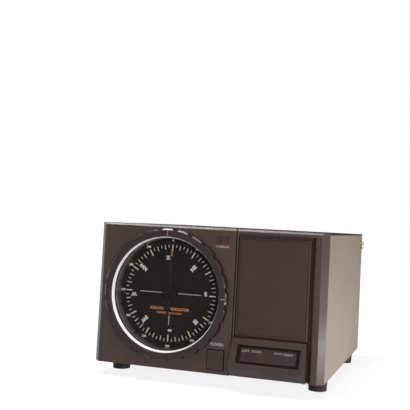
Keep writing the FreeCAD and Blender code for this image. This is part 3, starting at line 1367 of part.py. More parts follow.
def foot(x, y):
    """A rubber foot that narrows to its sole, with a recess for the screw."""
    body = Part.makeCone(FOOT_SOLE_RADIUS, FOOT_RADIUS, FOOT_HEIGHT, Vector(x, y, -FOOT_HEIGHT),
                         Z_AXIS)
    recess = post(FOOT_RECESS_RADIUS, -FOOT_HEIGHT - CUT, -FOOT_HEIGHT + FOOT_RECESS_DEPTH, x, y)
    hole = post(SCREW_HOLE, -FOOT_HEIGHT, CUT, x, y)
    return body.cut([recess, hole])


def transformer_core():
    """The laminated core: outer frame and centre leg round two windows."""
    half_w, half_y = CORE_WIDTH / 2, CORE_STACK / 2
    x, y = TRANSFORMER_X, TRANSFORMER_Y
    block = box(x - half_w, x + half_w, y - half_y, y + half_y, SHEET, SHEET + CORE_HEIGHT)
    centre = CORE_CENTRE_LEG / 2
    window = half_w - CORE_LEG
    low, high = SHEET + CORE_LEG, SHEET + CORE_HEIGHT - CORE_LEG
    front, rear = y - half_y - CUT, y + half_y + CUT
    cuts = [box(x - window, x - centre, front, rear, low, high),
            box(x + centre, x + window, front, rear, low, high)]
    return block.cut(cuts)


def transformer_coil():
    """The coil round the centre leg."""
    x, y = TRANSFORMER_X, TRANSFORMER_Y
    low, high = SHEET + CORE_LEG + COIL_FIT, SHEET + CORE_HEIGHT - CORE_LEG - COIL_FIT
    in_x, in_y = CORE_CENTRE_LEG / 2 + COIL_FIT, CORE_STACK / 2 + COIL_FIT
    out_x, out_y = in_x + COIL_BUILD, COIL_REACH
    outer = box(x - out_x, x + out_x, y - out_y, y + out_y, low, high)
    upright = [e for e in outer.Edges if abs(e.tangentAt(0).z) > 0.9]
    outer = outer.makeFillet(COIL_CORNER, upright)
    return outer.cut(box(x - in_x, x + in_x, y - in_y, y + in_y, low - CUT, high + CUT))


def transformer_frame():
    """The strap over the core, with a foot at each side."""
    x = TRANSFORMER_X
    half = CORE_WIDTH / 2
    y0, y1 = TRANSFORMER_Y - CORE_STACK / 2, TRANSFORMER_Y + CORE_STACK / 2
    top = SHEET + CORE_HEIGHT
    outer = box(x - half - STRAP, x + half + STRAP, y0, y1, SHEET, top + STRAP)
    strap = outer.cut(box(x - half, x + half, y0 - CUT, y1 + CUT, SHEET - CUT, top))
    feet = [box(x + a, x + b, y0, y1, SHEET, SHEET + STRAP)
            for a, b in ((-half - STRAP - STRAP_FOOT, -half), (half, half + STRAP + STRAP_FOOT))]
    holes = [post(SCREW_HOLE, SHEET - CUT, SHEET + STRAP + CUT, px, py)
             for px, py in transformer_places()]
    return fuse(strap, *feet).cut(holes)


def main_board():
    """The main circuit board."""
    plate = box(BOARD_LEFT, BOARD_RIGHT, BOARD_FRONT, BOARD_REAR, BOARD_TOP - BOARD_THICKNESS,
                BOARD_TOP)
    holes = [post(SCREW_HOLE, SHEET, BOARD_TOP + CUT, x, y) for x, y in board_places()]
    return plate.cut(holes)


def on_board(size, place):
    """A box of a given size, standing on the main board."""
    (x, y), (w, d, h) = place, size
    return box(x - w / 2, x + w / 2, y - d / 2, y + d / 2, BOARD_TOP, BOARD_TOP + h)


def board_parts():
    """Relays, smoothing capacitors and rectifier on the main board."""
    relay_x, relay_y = BOARD_LEFT + RELAY_FROM_SIDE, BOARD_FRONT + RELAY_FROM_FRONT
    parts = [on_board(RELAY_SIZE, (relay_x, relay_y + i * RELAY_PITCH)) for i in (0, 1)]
    first = relay_x + RELAY_SIZE[0] / 2 + CAPACITOR_RELAY_GAP + CAPACITOR_RADIUS
    second = first + 2 * CAPACITOR_RADIUS + CAPACITOR_GAP
    y = BOARD_FRONT + CAPACITOR_FROM_FRONT
    parts += [post(CAPACITOR_RADIUS, BOARD_TOP, BOARD_TOP + CAPACITOR_HEIGHT, x, y)
              for x in (first, second)]
    parts.append(on_board(RECTIFIER_SIZE, ((first + second) / 2, relay_y + RELAY_PITCH)))
    return group(parts)


def motor_capacitor():
    """The motor's phase capacitor, standing on the base."""
    can = post(MOTOR_CAP_RADIUS, SHEET, SHEET + MOTOR_CAP_HEIGHT, MOTOR_CAP_X, MOTOR_CAP_Y)
    top = SHEET + MOTOR_CAP_HEIGHT
    wide, thick = CAP_TAG_WIDTH / 2, CAP_TAG_THICKNESS / 2
    tags = [box(x - wide, x + wide, MOTOR_CAP_Y - thick, MOTOR_CAP_Y + thick, top - MERGE,
                top + CAP_TAG_HEIGHT)
            for x in (MOTOR_CAP_X - CAP_TAG_SPREAD, MOTOR_CAP_X + CAP_TAG_SPREAD)]
    return fuse(can, *tags)


def capacitor_clamp():
    """The band round the motor capacitor, with two feet."""
    inner = MOTOR_CAP_RADIUS + CLAMP_FIT
    outer = MOTOR_CAP_RADIUS + CLAMP_SHEET
    x, y = MOTOR_CAP_X, MOTOR_CAP_Y
    band = post(outer, SHEET, SHEET + CLAMP_HEIGHT, x, y)
    half = CLAMP_FOOT_WIDTH / 2
    feet = [box(x + a, x + b, y - half, y + half, SHEET, SHEET + CLAMP_SHEET)
            for a, b in ((-outer - CLAMP_FOOT, -inner), (inner, outer + CLAMP_FOOT))]
    holes = [post(SCREW_HOLE, SHEET - CUT, SHEET + CLAMP_SHEET + CUT, px, py)
             for px, py in clamp_places()]
    room = post(inner, SHEET - CUT, SHEET + CLAMP_HEIGHT + CUT, x, y)
    return fuse(band, *feet).cut([room] + holes)


def socket_screw_places():
    """Two screws on opposite corners of the rotor socket's flange."""
    reach = SOCKET_FLANGE / 2 - SOCKET_SCREW_INSET
    return [(SOCKET_X - reach, SOCKET_Z + reach), (SOCKET_X + reach, SOCKET_Z - reach)]


def rotor_socket():
    """The round metal socket for the rotator's lead."""
    flange_end = REAR_FACE + SOCKET_FLANGE_SHEET
    half = SOCKET_FLANGE / 2
    flange = box(SOCKET_X - half, SOCKET_X + half, REAR_FACE, flange_end, SOCKET_Z - half,
                 SOCKET_Z + half)
    shell = rod(SOCKET_RADIUS, REAR_FACE, flange_end + SOCKET_OUT, SOCKET_X, SOCKET_Z)
    bore = rod(SOCKET_RADIUS - SOCKET_WALL, REAR_FACE - CUT, flange_end + SOCKET_OUT + CUT,
               SOCKET_X, SOCKET_Z)
    holes = [rod(SCREW_HOLE, REAR_FACE - CUT, flange_end + CUT, x, z)
             for x, z in socket_screw_places()]
    return fuse(flange, shell).cut([bore] + holes)


def socket_insert():
    """The socket's insulator with its contact holes."""
    bore = SOCKET_RADIUS - SOCKET_WALL
    front = REAR_FACE + SOCKET_FLANGE_SHEET + SOCKET_OUT - SOCKET_FACE_SINK
    plug = rod(bore, REAR_INNER, front, SOCKET_X, SOCKET_Z)
    rear = rod(SOCKET_BODY_RADIUS, REAR_FACE - SOCKET_BODY_DEPTH, REAR_FACE, SOCKET_X, SOCKET_Z)
    holes = []
    for i in range(CONTACTS):
        turn = 2 * math.pi * i / CONTACTS
        holes.append(rod(CONTACT_RADIUS, front - CONTACT_DEPTH, front + CUT,
                         SOCKET_X + CONTACT_CIRCLE * math.cos(turn),
                         SOCKET_Z + CONTACT_CIRCLE * math.sin(turn)))
    return fuse(plug, rear).cut(holes)


def inlet_outline(grow, y0, y1):
    """The mains inlet's outline, two corners cut, grown by a margin."""
    w, h = INLET_CAVITY_WIDTH / 2 + grow, INLET_CAVITY_HEIGHT / 2 + grow
    corner = INLET_CORNER + grow * (2 - math.sqrt(2))
    points = [(-w, -h), (w, -h), (w, h - corner), (w - corner, h), (-w + corner, h),
              (-w, h - corner)]
    return prism([(INLET_X + x, y0, INLET_Z + z) for x, z in points], (0, y1 - y0, 0))


def inlet_screw_places():
    """The mains inlet's two screws."""
    reach = INLET_SCREW_PITCH / 2
    return [(INLET_X - reach, INLET_Z), (INLET_X + reach, INLET_Z)]


def mains_inlet():
    """The mains inlet's moulding: flange, sleeve and back wall."""
    face = REAR_FACE + INLET_FLANGE_SHEET
    floor = face - INLET_CAVITY_DEPTH
    half_w, half_h = INLET_FLANGE_WIDTH / 2, INLET_FLANGE_HEIGHT / 2
    flange = box(INLET_X - half_w, INLET_X + half_w, REAR_FACE, face, INLET_Z - half_h,
                 INLET_Z + half_h)
    sleeve = inlet_outline(INLET_WALL, floor - INLET_BACK_WALL, face)
    cavity = inlet_outline(0, floor, face + CUT)
    holes = [rod(SCREW_HOLE, REAR_FACE - CUT, face + CUT, x, z) for x, z in inlet_screw_places()]
    return fuse(flange, sleeve).cut([cavity] + holes + pin_blades())


def pin_blades():
    """The inlet's three blades, from the solder tags to their tips."""
    floor = REAR_FACE + INLET_FLANGE_SHEET - INLET_CAVITY_DEPTH
    blades = []
    for x, lift in ((-PIN_SPACING, -PIN_LIFT), (PIN_SPACING, -PIN_LIFT), (0, EARTH_LIFT)):
        px, pz = INLET_X + x, INLET_Z + lift
        blades.append(box(px - PIN_WIDTH / 2, px + PIN_WIDTH / 2, floor - INLET_BACK_WALL - PIN_TAG,
                          floor + PIN_LENGTH, pz - PIN_HEIGHT / 2, pz + PIN_HEIGHT / 2))
    return blades


def inlet_pins():
    """The mains inlet's three pins."""
    return group(pin_blades())


def fuse_holder():
    """The fuse holder's body behind its flange."""
    flange = rod(FUSE_FLANGE_RADIUS, REAR_FACE, REAR_FACE + FUSE_FLANGE_SHEET, FUSE_X, FUSE_Z)
    body = rod(FUSE_BODY_RADIUS, REAR_FACE - FUSE_BODY_DEPTH, REAR_FACE, FUSE_X, FUSE_Z)
    bore = rod(FUSE_BORE, REAR_FACE - FUSE_BODY_DEPTH + FUSE_END_WALL,
               REAR_FACE + FUSE_FLANGE_SHEET + CUT, FUSE_X, FUSE_Z)
    return fuse(flange, body).cut(bore)


def fuse_cap():
    """The fuse holder's ribbed cap with its plug."""
    start = REAR_FACE + FUSE_FLANGE_SHEET
    end = start + FUSE_CAP_LENGTH
    cap = rod(FUSE_CAP_RADIUS, start, end, FUSE_X, FUSE_Z)
    rims = [e for e in cap.Edges if len(e.Vertexes) == 1 and e.CenterOfMass.y > (start + end) / 2]
    cap = cap.makeFillet(FUSE_CAP_EDGE, rims)
    reach = FUSE_CAP_RADIUS + GRIP_OUT
    turns = [2 * math.pi * i / FUSE_GRIPS for i in range(FUSE_GRIPS)]
    grips = [rod(GRIP_RADIUS, start + GRIP_SETBACK, end + CUT, FUSE_X + reach * math.cos(turn),
                 FUSE_Z + reach * math.sin(turn)) for turn in turns]
    plug = rod(FUSE_PLUG_RADIUS, start - FUSE_PLUG_DEPTH, start + MERGE, FUSE_X, FUSE_Z)
    half = CAP_SLOT_WIDTH / 2
    slot = box(FUSE_X - CAP_SLOT_REACH, FUSE_X + CAP_SLOT_REACH, end - CAP_SLOT_DEPTH, end + CUT,
               FUSE_Z - half, FUSE_Z + half)
    return cap.fuse(plug).removeSplitter().cut(grips + [slot])


def fuse_link():
    """The glass fuse, held by the cap's plug."""
    end = REAR_FACE + FUSE_FLANGE_SHEET - FUSE_PLUG_DEPTH
    return rod(FUSE_RADIUS, end - FUSE_LENGTH, end, FUSE_X, FUSE_Z)


def ground_stud():
    """The earth stud with the nut that holds it on the rear panel."""
    stud = rod(GROUND_RADIUS, REAR_INNER - GROUND_IN, REAR_FACE + GROUND_OUT, GROUND_X, GROUND_Z)
    nuts = []
    for y0 in (REAR_FACE, REAR_INNER - GROUND_HEX_HEIGHT):
        nut = hexagon(GROUND_HEX, 0, GROUND_HEX_HEIGHT, 0, 0)
        nut.rotate(Vector(0, 0, 0), X_AXIS, -90)
        nut.translate(Vector(GROUND_X, y0, GROUND_Z))
        nuts.append(nut)
    return fuse(stud, *nuts)


def ground_nut():
    """The knurled thumb nut on the earth stud."""
    start = REAR_FACE + GROUND_HEX_HEIGHT + GROUND_NUT_GAP
    end = start + GROUND_NUT_LENGTH
    body = rod(GROUND_NUT_RADIUS, start, end, GROUND_X, GROUND_Z)
    reach = GROUND_NUT_RADIUS + KNURL_OUT
    turns = [2 * math.pi * i / KNURLS for i in range(KNURLS)]
    flutes = [rod(KNURL_RADIUS, start + KNURL_SETBACK, end + CUT, GROUND_X + reach * math.cos(turn),
                  GROUND_Z + reach * math.sin(turn)) for turn in turns]
    bore = rod(GROUND_RADIUS + GROUND_NUT_FIT, start - CUT, end + CUT, GROUND_X, GROUND_Z)
    return body.cut(flutes + [bore])


def adjuster_z():
    """The height of the meter adjuster's axis."""
    return BOARD_TOP + ADJUSTER_SIZE[2] / 2


def adjuster_body():
    """The meter adjuster's case on the main board's rear edge."""
    w, d, h = ADJUSTER_SIZE
    case = box(ADJUSTER_X - w / 2, ADJUSTER_X + w / 2, BOARD_REAR - d, BOARD_REAR, BOARD_TOP,
               BOARD_TOP + h)
    bore = rod(ADJUSTER_SHAFT_RADIUS + SHAFT_FIT, BOARD_REAR - ADJUSTER_ENTRY, BOARD_REAR + CUT,
               ADJUSTER_X, adjuster_z())
    return case.cut(bore)


def adjuster_shaft():
    """The adjuster's slotted shaft, which ends just inside the rear face."""
    end = REAR_FACE - ADJUSTER_SHAFT_SINK
    shaft = rod(ADJUSTER_SHAFT_RADIUS, BOARD_REAR - ADJUSTER_ENTRY + SHAFT_FIT, end, ADJUSTER_X,
                adjuster_z())
    half, reach = ADJUSTER_SLOT_WIDTH / 2, ADJUSTER_SHAFT_RADIUS + CUT
    slot = box(ADJUSTER_X - reach, ADJUSTER_X + reach, end - ADJUSTER_SLOT_DEPTH, end + CUT,
               adjuster_z() - half, adjuster_z() + half)
    return shaft.cut(slot)


def all_pieces():
    """Every node's name and shape, in cabinet coordinates."""
    pieces = {
        "front_bezel": front_bezel(),
        "blank_panel": blank_panel(),
        "switch_housing": switch_housing(),
        "base_pan": base_pan(),
        "rear_panel": rear_panel(),
        "side_panel_left": side_panel(-1),
        "side_panel_right": side_panel(1),
        "top_cover": top_cover(),
        "side_screws": side_screws(),
        "rear_screws": rear_screws(),
        "underside_screws": underside_screws(),
        "inner_screws": inner_screws(),
        "index_ring": index_ring(),
        "meter_lens": meter_lens(),
        "meter_rim": meter_rim(),
        "dial_plate": dial_plate(),
        "pointer": pointer(),
        "pointer_hub": pointer_hub(),
        "pointer_shaft": pointer_shaft(),
        "rotor_magnet": rotor_magnet(),
        "meter_case": meter_case(),
        "coil_former": coil_former(),
        "crossed_windings": crossed_windings(),
        "bearing_bushes": bearing_bushes(),
        "dial_lamps": dial_lamps(),
        "overlap_window": overlap_window(),
        "overlap_lens": overlap_lens(),
        "overlap_led": overlap_led(),
        "power_button": power_button(),
        "power_plunger": power_plunger(),
        "power_spring": power_spring(),
        "power_switch_body": power_switch_body(),
        "switch_bracket": switch_bracket(),
        "direction_key": direction_key(),
        "key_pivot_pin": key_pin_solid(KEY_PIN_RADIUS),
        "direction_slider": direction_slider(),
        "direction_switch_body": direction_switch_body(),
        "switch_board": switch_board(),
        "transformer_core": transformer_core(),
        "transformer_coil": transformer_coil(),
        "transformer_frame": transformer_frame(),
        "main_board": main_board(),
        "board_parts": board_parts(),
        "motor_capacitor": motor_capacitor(),
        "capacitor_clamp": capacitor_clamp(),
        "rotor_socket": rotor_socket(),
        "socket_insert": socket_insert(),
        "mains_inlet": mains_inlet(),
        "inlet_pins": inlet_pins(),
        "fuse_holder": fuse_holder(),
        "fuse_cap": fuse_cap(),
        "fuse_link": fuse_link(),
        "ground_stud": ground_stud(),
        "ground_nut": ground_nut(),
        "adjuster_body": adjuster_body(),
        "adjuster_shaft": adjuster_shaft(),
    }
    for name, (x, y) in foot_places().items():
        pieces[name] = foot(x, y)
    return pieces


def main():
    """Build every piece, move it into the part's frame and write its file."""
    os.makedirs("parts", exist_ok=True)
    for name, shape in all_pieces().items():
        shape.translate(ORIGIN_SHIFT)
        shape.exportStep(f"parts/{name}.step")
        print(name, len(shape.Solids), round(shape.Volume, 1), shape.isValid())


if __name__ == "__main__":
    main()
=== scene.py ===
"""Dresses the antenna rotator controller: finer surfaces, finishes, lamps and a camera on the frame."""

import logging
import math
from dataclasses import dataclass, field
from enum import Enum
from functools import cached_property
from typing import Any, Sequence

import bmesh
import bpy
import numpy as np
from mathutils import Matrix


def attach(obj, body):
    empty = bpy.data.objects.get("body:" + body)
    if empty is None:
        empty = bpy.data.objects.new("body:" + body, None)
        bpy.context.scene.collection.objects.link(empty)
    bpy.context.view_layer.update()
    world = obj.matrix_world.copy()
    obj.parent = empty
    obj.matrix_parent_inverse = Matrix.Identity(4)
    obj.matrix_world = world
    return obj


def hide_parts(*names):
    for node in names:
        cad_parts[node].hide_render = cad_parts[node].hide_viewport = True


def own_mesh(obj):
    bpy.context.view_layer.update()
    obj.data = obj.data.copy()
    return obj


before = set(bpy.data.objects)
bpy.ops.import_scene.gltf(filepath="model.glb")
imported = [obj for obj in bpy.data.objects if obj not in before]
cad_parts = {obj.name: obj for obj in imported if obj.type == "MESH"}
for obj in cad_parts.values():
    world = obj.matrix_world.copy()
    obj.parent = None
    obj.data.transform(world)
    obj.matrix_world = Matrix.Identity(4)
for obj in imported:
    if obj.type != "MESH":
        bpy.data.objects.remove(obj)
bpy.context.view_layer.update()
LOG = logging.getLogger("controller")

# Lengths are in millimetres where nothing else is said. Names ending in _M are in metres.
MM = 0.001
MERGE_DISTANCE_M = 1e-7
SHARP_ANGLE = 35.0
LONGEST_CUT = 0.49
SMALLEST_CORNER = 0.05
LETTER_EXTRUDE = 0.1
LETTER_RESOLUTION = 3

Pair = tuple[float, float]
Point = tuple[float, float, float]
Colour = tuple[float, float, float]
Socket = bpy.types.NodeSocket


class Body(Enum):
    """The bodies of the frame that new pieces ride on."""

    CABINET = "cabinet"
    POINTER = "pointer_set"
    RING = "ring"
    BUTTON = "button"
    ROCKER = "rocker"


class Pattern(Enum):
    """The small relief that a surface shows."""

    GRAIN = "fine moulded grain"
    PEEL = "soft waves of sprayed paint"
    SPANGLE = "crystal patches of plated sheet"
    TURNED = "fine rings and scratches of machined metal"
    WOUND = "turns of wire"
    STACKED = "thin stacked plates"
    WRAPPED = "layers of tape"
    WOVEN = "glass cloth under resin"
    PRINTED = "thin screen print"


# Surfaces


@dataclass(frozen=True)
class Face:
    """A face of the part: a centre in millimetres and the directions that run right and up on it.

    Its third direction, right x up, points out of the face.
    """

    centre: Point
    right: Point = (1.0, 0.0, 0.0)
    up: Point = (0.0, 0.0, 1.0)

    def place(self, local: np.ndarray) -> np.ndarray:
        """Turns right, up and out lengths into places: centre + r * right + u * up + o * out."""
        right, up = np.array(self.right), np.array(self.up)
        return np.array(self.centre) + local @ np.stack([right, up, np.cross(right, up)])


@dataclass
class Shape:
    """Points and faces of one surface, as whole arrays in millimetres."""

    points: np.ndarray
    faces: list[Sequence[int]] = field(default_factory=list)

    @classmethod
    def grid(cls, points: np.ndarray, ring_rows: bool = False, ring_columns: bool = True) -> "Shape":
        """Joins a grid of points (rows, columns, 3) into quads.

        Args:
            points: the surface worked out on a grid of two parameters.
            ring_rows: whether the last row joins the first.
            ring_columns: whether the last column joins the first.

        Returns:
            The shape with one quad per grid cell.
        """
        rows, columns = points.shape[:2]
        index = np.arange(rows * columns).reshape(rows, columns)
        if ring_columns:
            index = np.concatenate([index, index[:, :1]], axis=1)
        if ring_rows:
            index = np.concatenate([index, index[:1]], axis=0)
        quads = np.stack([index[:-1, :-1], index[:-1, 1:], index[1:, 1:], index[1:, :-1]], axis=-1)
        return cls(points.reshape(-1, 3), quads.reshape(-1, 4).tolist())

    @classmethod
    def joined(cls, shapes: Sequence["Shape"]) -> "Shape":
        """Puts several shapes into one, each one's face numbers moved past the points before it."""
        starts = np.cumsum([0] + [len(s.points) for s in shapes])
        faces = [[int(i + start) for i in f] for s, start in zip(shapes, starts) for f in s.faces]
        return cls(np.concatenate([s.points for s in shapes]), faces)

    def made(self, name: str, material: bpy.types.Material, body: Body) -> bpy.types.Object:
        """Makes the mesh object, closes its poles, points its faces outwards and rides it on a body.

        Args:
            name: the piece's name.
            material: its finish.
            body: the body that it moves with.

        Returns:
            The new object, at the origin.
        """
        mesh = bpy.data.meshes.new(name)
        mesh.from_pydata((self.points * MM).tolist(), [], self.faces)
        work = bmesh.new()
        work.from_mesh(mesh)
        bmesh.ops.remove_doubles(work, verts=work.verts, dist=MERGE_DISTANCE_M)
        bmesh.ops.dissolve_degenerate(work, edges=work.edges, dist=MERGE_DISTANCE_M)
        bmesh.ops.recalc_face_normals(work, faces=work.faces)
        work.to_mesh(mesh)
        work.free()
        mesh.shade_smooth()
        mesh.set_sharp_from_angle(angle=math.radians(SHARP_ANGLE))
        mesh.materials.append(material)
        piece = bpy.data.objects.new(name, mesh)
        bpy.context.scene.collection.objects.link(piece)
        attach(piece, body.value)
        LOG.info("made %s with %d faces", name, len(mesh.polygons))
        return piece


def softened(outline: Sequence[Pair], cut: float | Sequence[float], steps: int,
             closed: bool = True) -> np.ndarray:
    """Rounds the corners of an outline.

    Each corner P gives way to (1-t)^2 A + 2t(1-t) P + t^2 B, where A and B lie `cut` before
    and after P on its two sides, never past their middles.

    Args:
        outline: the corners in order.
        cut: how far from a corner its rounding starts, for all or for each.
        steps: how many points each rounding has.
        closed: whether the last corner joins the first.

    Returns:
        An array (corners * steps, 2).
    """
    corners = np.array(outline, float)
    before, after = np.roll(corners, 1, axis=0) - corners, np.roll(corners, -1, axis=0) - corners
    size = np.broadcast_to(np.array(cut, float), len(corners)).copy()
    if not closed:
        size[[0, -1]] = 0.0
        before[0], after[-1] = after[0], before[-1]
    lengths = np.linalg.norm(before, axis=1), np.linalg.norm(after, axis=1)
    size = np.minimum(size, LONGEST_CUT * np.minimum(*lengths))
    start = corners + before / lengths[0][:, None] * size[:, None]
    end = corners + after / lengths[1][:, None] * size[:, None]
    t = np.linspace(0.0, 1.0, steps)[None, :, None]
    curve = (1 - t) ** 2 * start[:, None] + 2 * t * (1 - t) * corners[:, None] + t ** 2 * end[:, None]
    return curve.reshape(-1, 2)


def turned(profile: np.ndarray, face: Face, steps: int,
           radius_limit: np.ndarray | None = None) -> np.ndarray:
    """Turns a profile of (radius, out) round the face's out direction.

    A point is (r cos a, r sin a, out), with r no more than the limit at the angle a if there is one.

    Args:
        profile: rows of radius and out.
        face: the face that the axis stands on.
        steps: how many angles.
        radius_limit: the largest radius at each angle, for flutes and grips.

    Returns:
        A grid of points (rows, steps, 3).
    """
    angle = np.linspace(0.0, 2 * np.pi, steps, endpoint=False)[None]
    radius = np.broadcast_to(profile[:, :1], (len(profile), steps))
    if radius_limit is not None:
        radius = np.minimum(radius, radius_limit)
    out = np.broadcast_to(profile[:, 1:], radius.shape)
    return face.place(np.stack([radius * np.cos(angle), radius * np.sin(angle), out], axis=-1))


def fluted(count: int, reach: float, radius: float, steps: int) -> np.ndarray:
    """The distance from the axis to evenly spaced round flutes, at each of `steps` angles.

    At an angle b from a flute's middle it is reach cos b - sqrt(radius^2 - reach^2 sin^2 b),
    and between flutes there is no limit.
    """
    angle = np.linspace(0.0, 2 * np.pi, steps, endpoint=False)
    pitch = 2 * np.pi / count
    off = (angle % pitch) - pitch / 2
    inside = radius ** 2 - (reach * np.sin(off)) ** 2
    edge = reach * np.cos(off) - np.sqrt(np.maximum(inside, 0.0))
    return np.where(inside > 0, edge, np.inf)


def slab(width: float, height: float, corner: float, profile: np.ndarray, face: Face,
         steps: int = 8) -> np.ndarray:
    """Carries a profile of (inset, out) round a rounded rectangle and closes it at both ends.

    In each quarter the outline is (w/2 - inset - r, h/2 - inset - r), with the quarter's signs,
    + r (cos a, sin a), where r is the corner less the inset. The first and last rows are drawn
    into the middle, which closes the surface.

    Args:
        width: the rectangle's width.
        height: its height.
        corner: its corner radius.
        profile: rows of inset and out.
        face: the face that the rectangle lies on.
        steps: how many points each corner has.

    Returns:
        A grid of points (rows + 2, 4 * steps, 3).
    """
    quarter = np.repeat(np.arange(4), steps)
    angle = (quarter + np.tile(np.linspace(0.0, 1.0, steps), 4)) * np.pi / 2
    sign_x, sign_y = np.array([1, -1, -1, 1])[quarter], np.array([1, 1, -1, -1])[quarter]
    inset, out = profile[:, :1], profile[:, 1:]
    radius = np.maximum(corner - inset, SMALLEST_CORNER)
    x = sign_x * (width / 2 - inset - radius) + radius * np.cos(angle)
    y = sign_y * (height / 2 - inset - radius) + radius * np.sin(angle)
    rows = np.stack([x, y, np.broadcast_to(out, x.shape)], axis=-1)
    ends = rows[[0, -1]] * np.array([0.0, 0.0, 1.0])
    return face.place(np.concatenate([ends[:1], rows, ends[1:]]))


def bars(middles: np.ndarray, sizes: np.ndarray, turns: np.ndarray, face: Face, low: float,
         high: float) -> Shape:
    """Makes many thin printed bars at once.

    A bar's corner is middle + R(turn) (+-w/2, +-h/2), at out = low and high.

    Args:
        middles: the bars' middles (n, 2).
        sizes: their widths and heights (n, 2).
        turns: how far each is turned, in radians (n,).
        face: the face that they lie on.
        low: where their backs lie.
        high: where their fronts lie.

    Returns:
        One shape with every bar as a closed box.
    """
    corner = np.array([[-1, -1], [1, -1], [1, 1], [-1, 1]]) / 2
    flat = corner[None] * sizes[:, None]
    cos, sin = np.cos(turns)[:, None], np.sin(turns)[:, None]
    x, y = flat[..., 0], flat[..., 1]
    spun = np.stack([x * cos - y * sin, x * sin + y * cos], axis=-1) + middles[:, None]
    levels = [np.concatenate([spun, np.full(spun.shape[:2] + (1,), o)], axis=-1) for o in (low, high)]
    box = np.array([[0, 3, 2, 1], [4, 5, 6, 7], [0, 1, 5, 4], [1, 2, 6, 5], [2, 3, 7, 6], [3, 0, 4, 7]])
    faces = (box[None] + 8 * np.arange(len(middles))[:, None, None]).reshape(-1, 4).tolist()
    return Shape(face.place(np.concatenate(levels, axis=1)).reshape(-1, 3), faces)


@dataclass(frozen=True)
class Words:
    """One row of plain lettering.

    `at` is its middle on the face, `width` is the letters' own where it is None, `turn` is in
    degrees anticlockwise, and `weight` thickens the strokes.
    """

    text: str
    at: Pair
    height: float
    width: float | None = None
    turn: float = 0.0
    weight: float = 0.0

    def shape(self, face: Face, low: float, high: float) -> Shape:
        """Makes the row a thin solid on a face.

        The letters' outline is scaled to the row's height and width, turned, moved to its
        middle, and its front and back are put at out = high and low.
        """
        curve = bpy.data.curves.new("letters", "FONT")
        curve.body, curve.extrude, curve.offset = self.text, LETTER_EXTRUDE, self.weight
        curve.resolution_u = LETTER_RESOLUTION
        holder = bpy.data.objects.new("letters", curve)
        bpy.context.scene.collection.objects.link(holder)
        mesh = bpy.data.meshes.new_from_object(holder.evaluated_get(bpy.context.evaluated_depsgraph_get()))
        flat = np.zeros(len(mesh.vertices) * 3, np.float32)
        mesh.vertices.foreach_get("co", flat)
        faces = [list(p.vertices) for p in mesh.polygons]
        bpy.data.objects.remove(holder)
        bpy.data.meshes.remove(mesh)
        points = flat.reshape(-1, 3).astype(float)
        lo, hi = points[:, :2].min(axis=0), points[:, :2].max(axis=0)
        scale_y = self.height / (hi[1] - lo[1])
        scale_x = self.width / (hi[0] - lo[0]) if self.width else scale_y
        xy = (points[:, :2] - (lo + hi) / 2) * (scale_x, scale_y)
        cos, sin = math.cos(math.radians(self.turn)), math.sin(math.radians(self.turn))
        spun = xy @ np.array([[cos, sin], [-sin, cos]]) + self.at
        out = np.where(points[:, 2] > 0, high, low)
        return Shape(face.place(np.concatenate([spun, out[:, None]], axis=1)), faces)


# Finishes. Details count noise octaves, WORN_PATCH is a length, and the rest are shares or factors.
BEVEL_SAMPLES = 6
EDGE_DOT, FLAT_DOT = 0.86, 0.985
# How far apart the wave texture's stripes are at a scale of 1, in metres.
WAVE_PERIOD = 0.314159
PLATE_BEND, WEAVE_BEND, WIRE_BEND = 0.1, 0.2, 0.5
COARSE_DETAIL, FINE_DETAIL, CLOUD_DETAIL, GLOSS_DETAIL = 1.0, 3.0, 4.0, 5.0
LATHE_STRETCH = (12.0, 1.0, 12.0)
CELL_SHARE, CELL_TONE = 0.45, 0.55
WORN_PATCH, WORN_LEAST, WORN_GAIN, WORN_LIFT = 3.0, 0.35, 2.2, 0.06
GLOSS_PATCH = 0.6
COAT_ROUGHNESS = 0.12


def ink(red: int, green: int, blue: int) -> Colour:
    """Turns a screen colour of 0 to 255 into the linear colour that a shader takes."""
    value = np.array([red, green, blue]) / 255.0
    linear = np.where(value <= 0.04045, value / 12.92, ((value + 0.055) / 1.055) ** 2.4)
    return tuple(float(v) for v in linear)


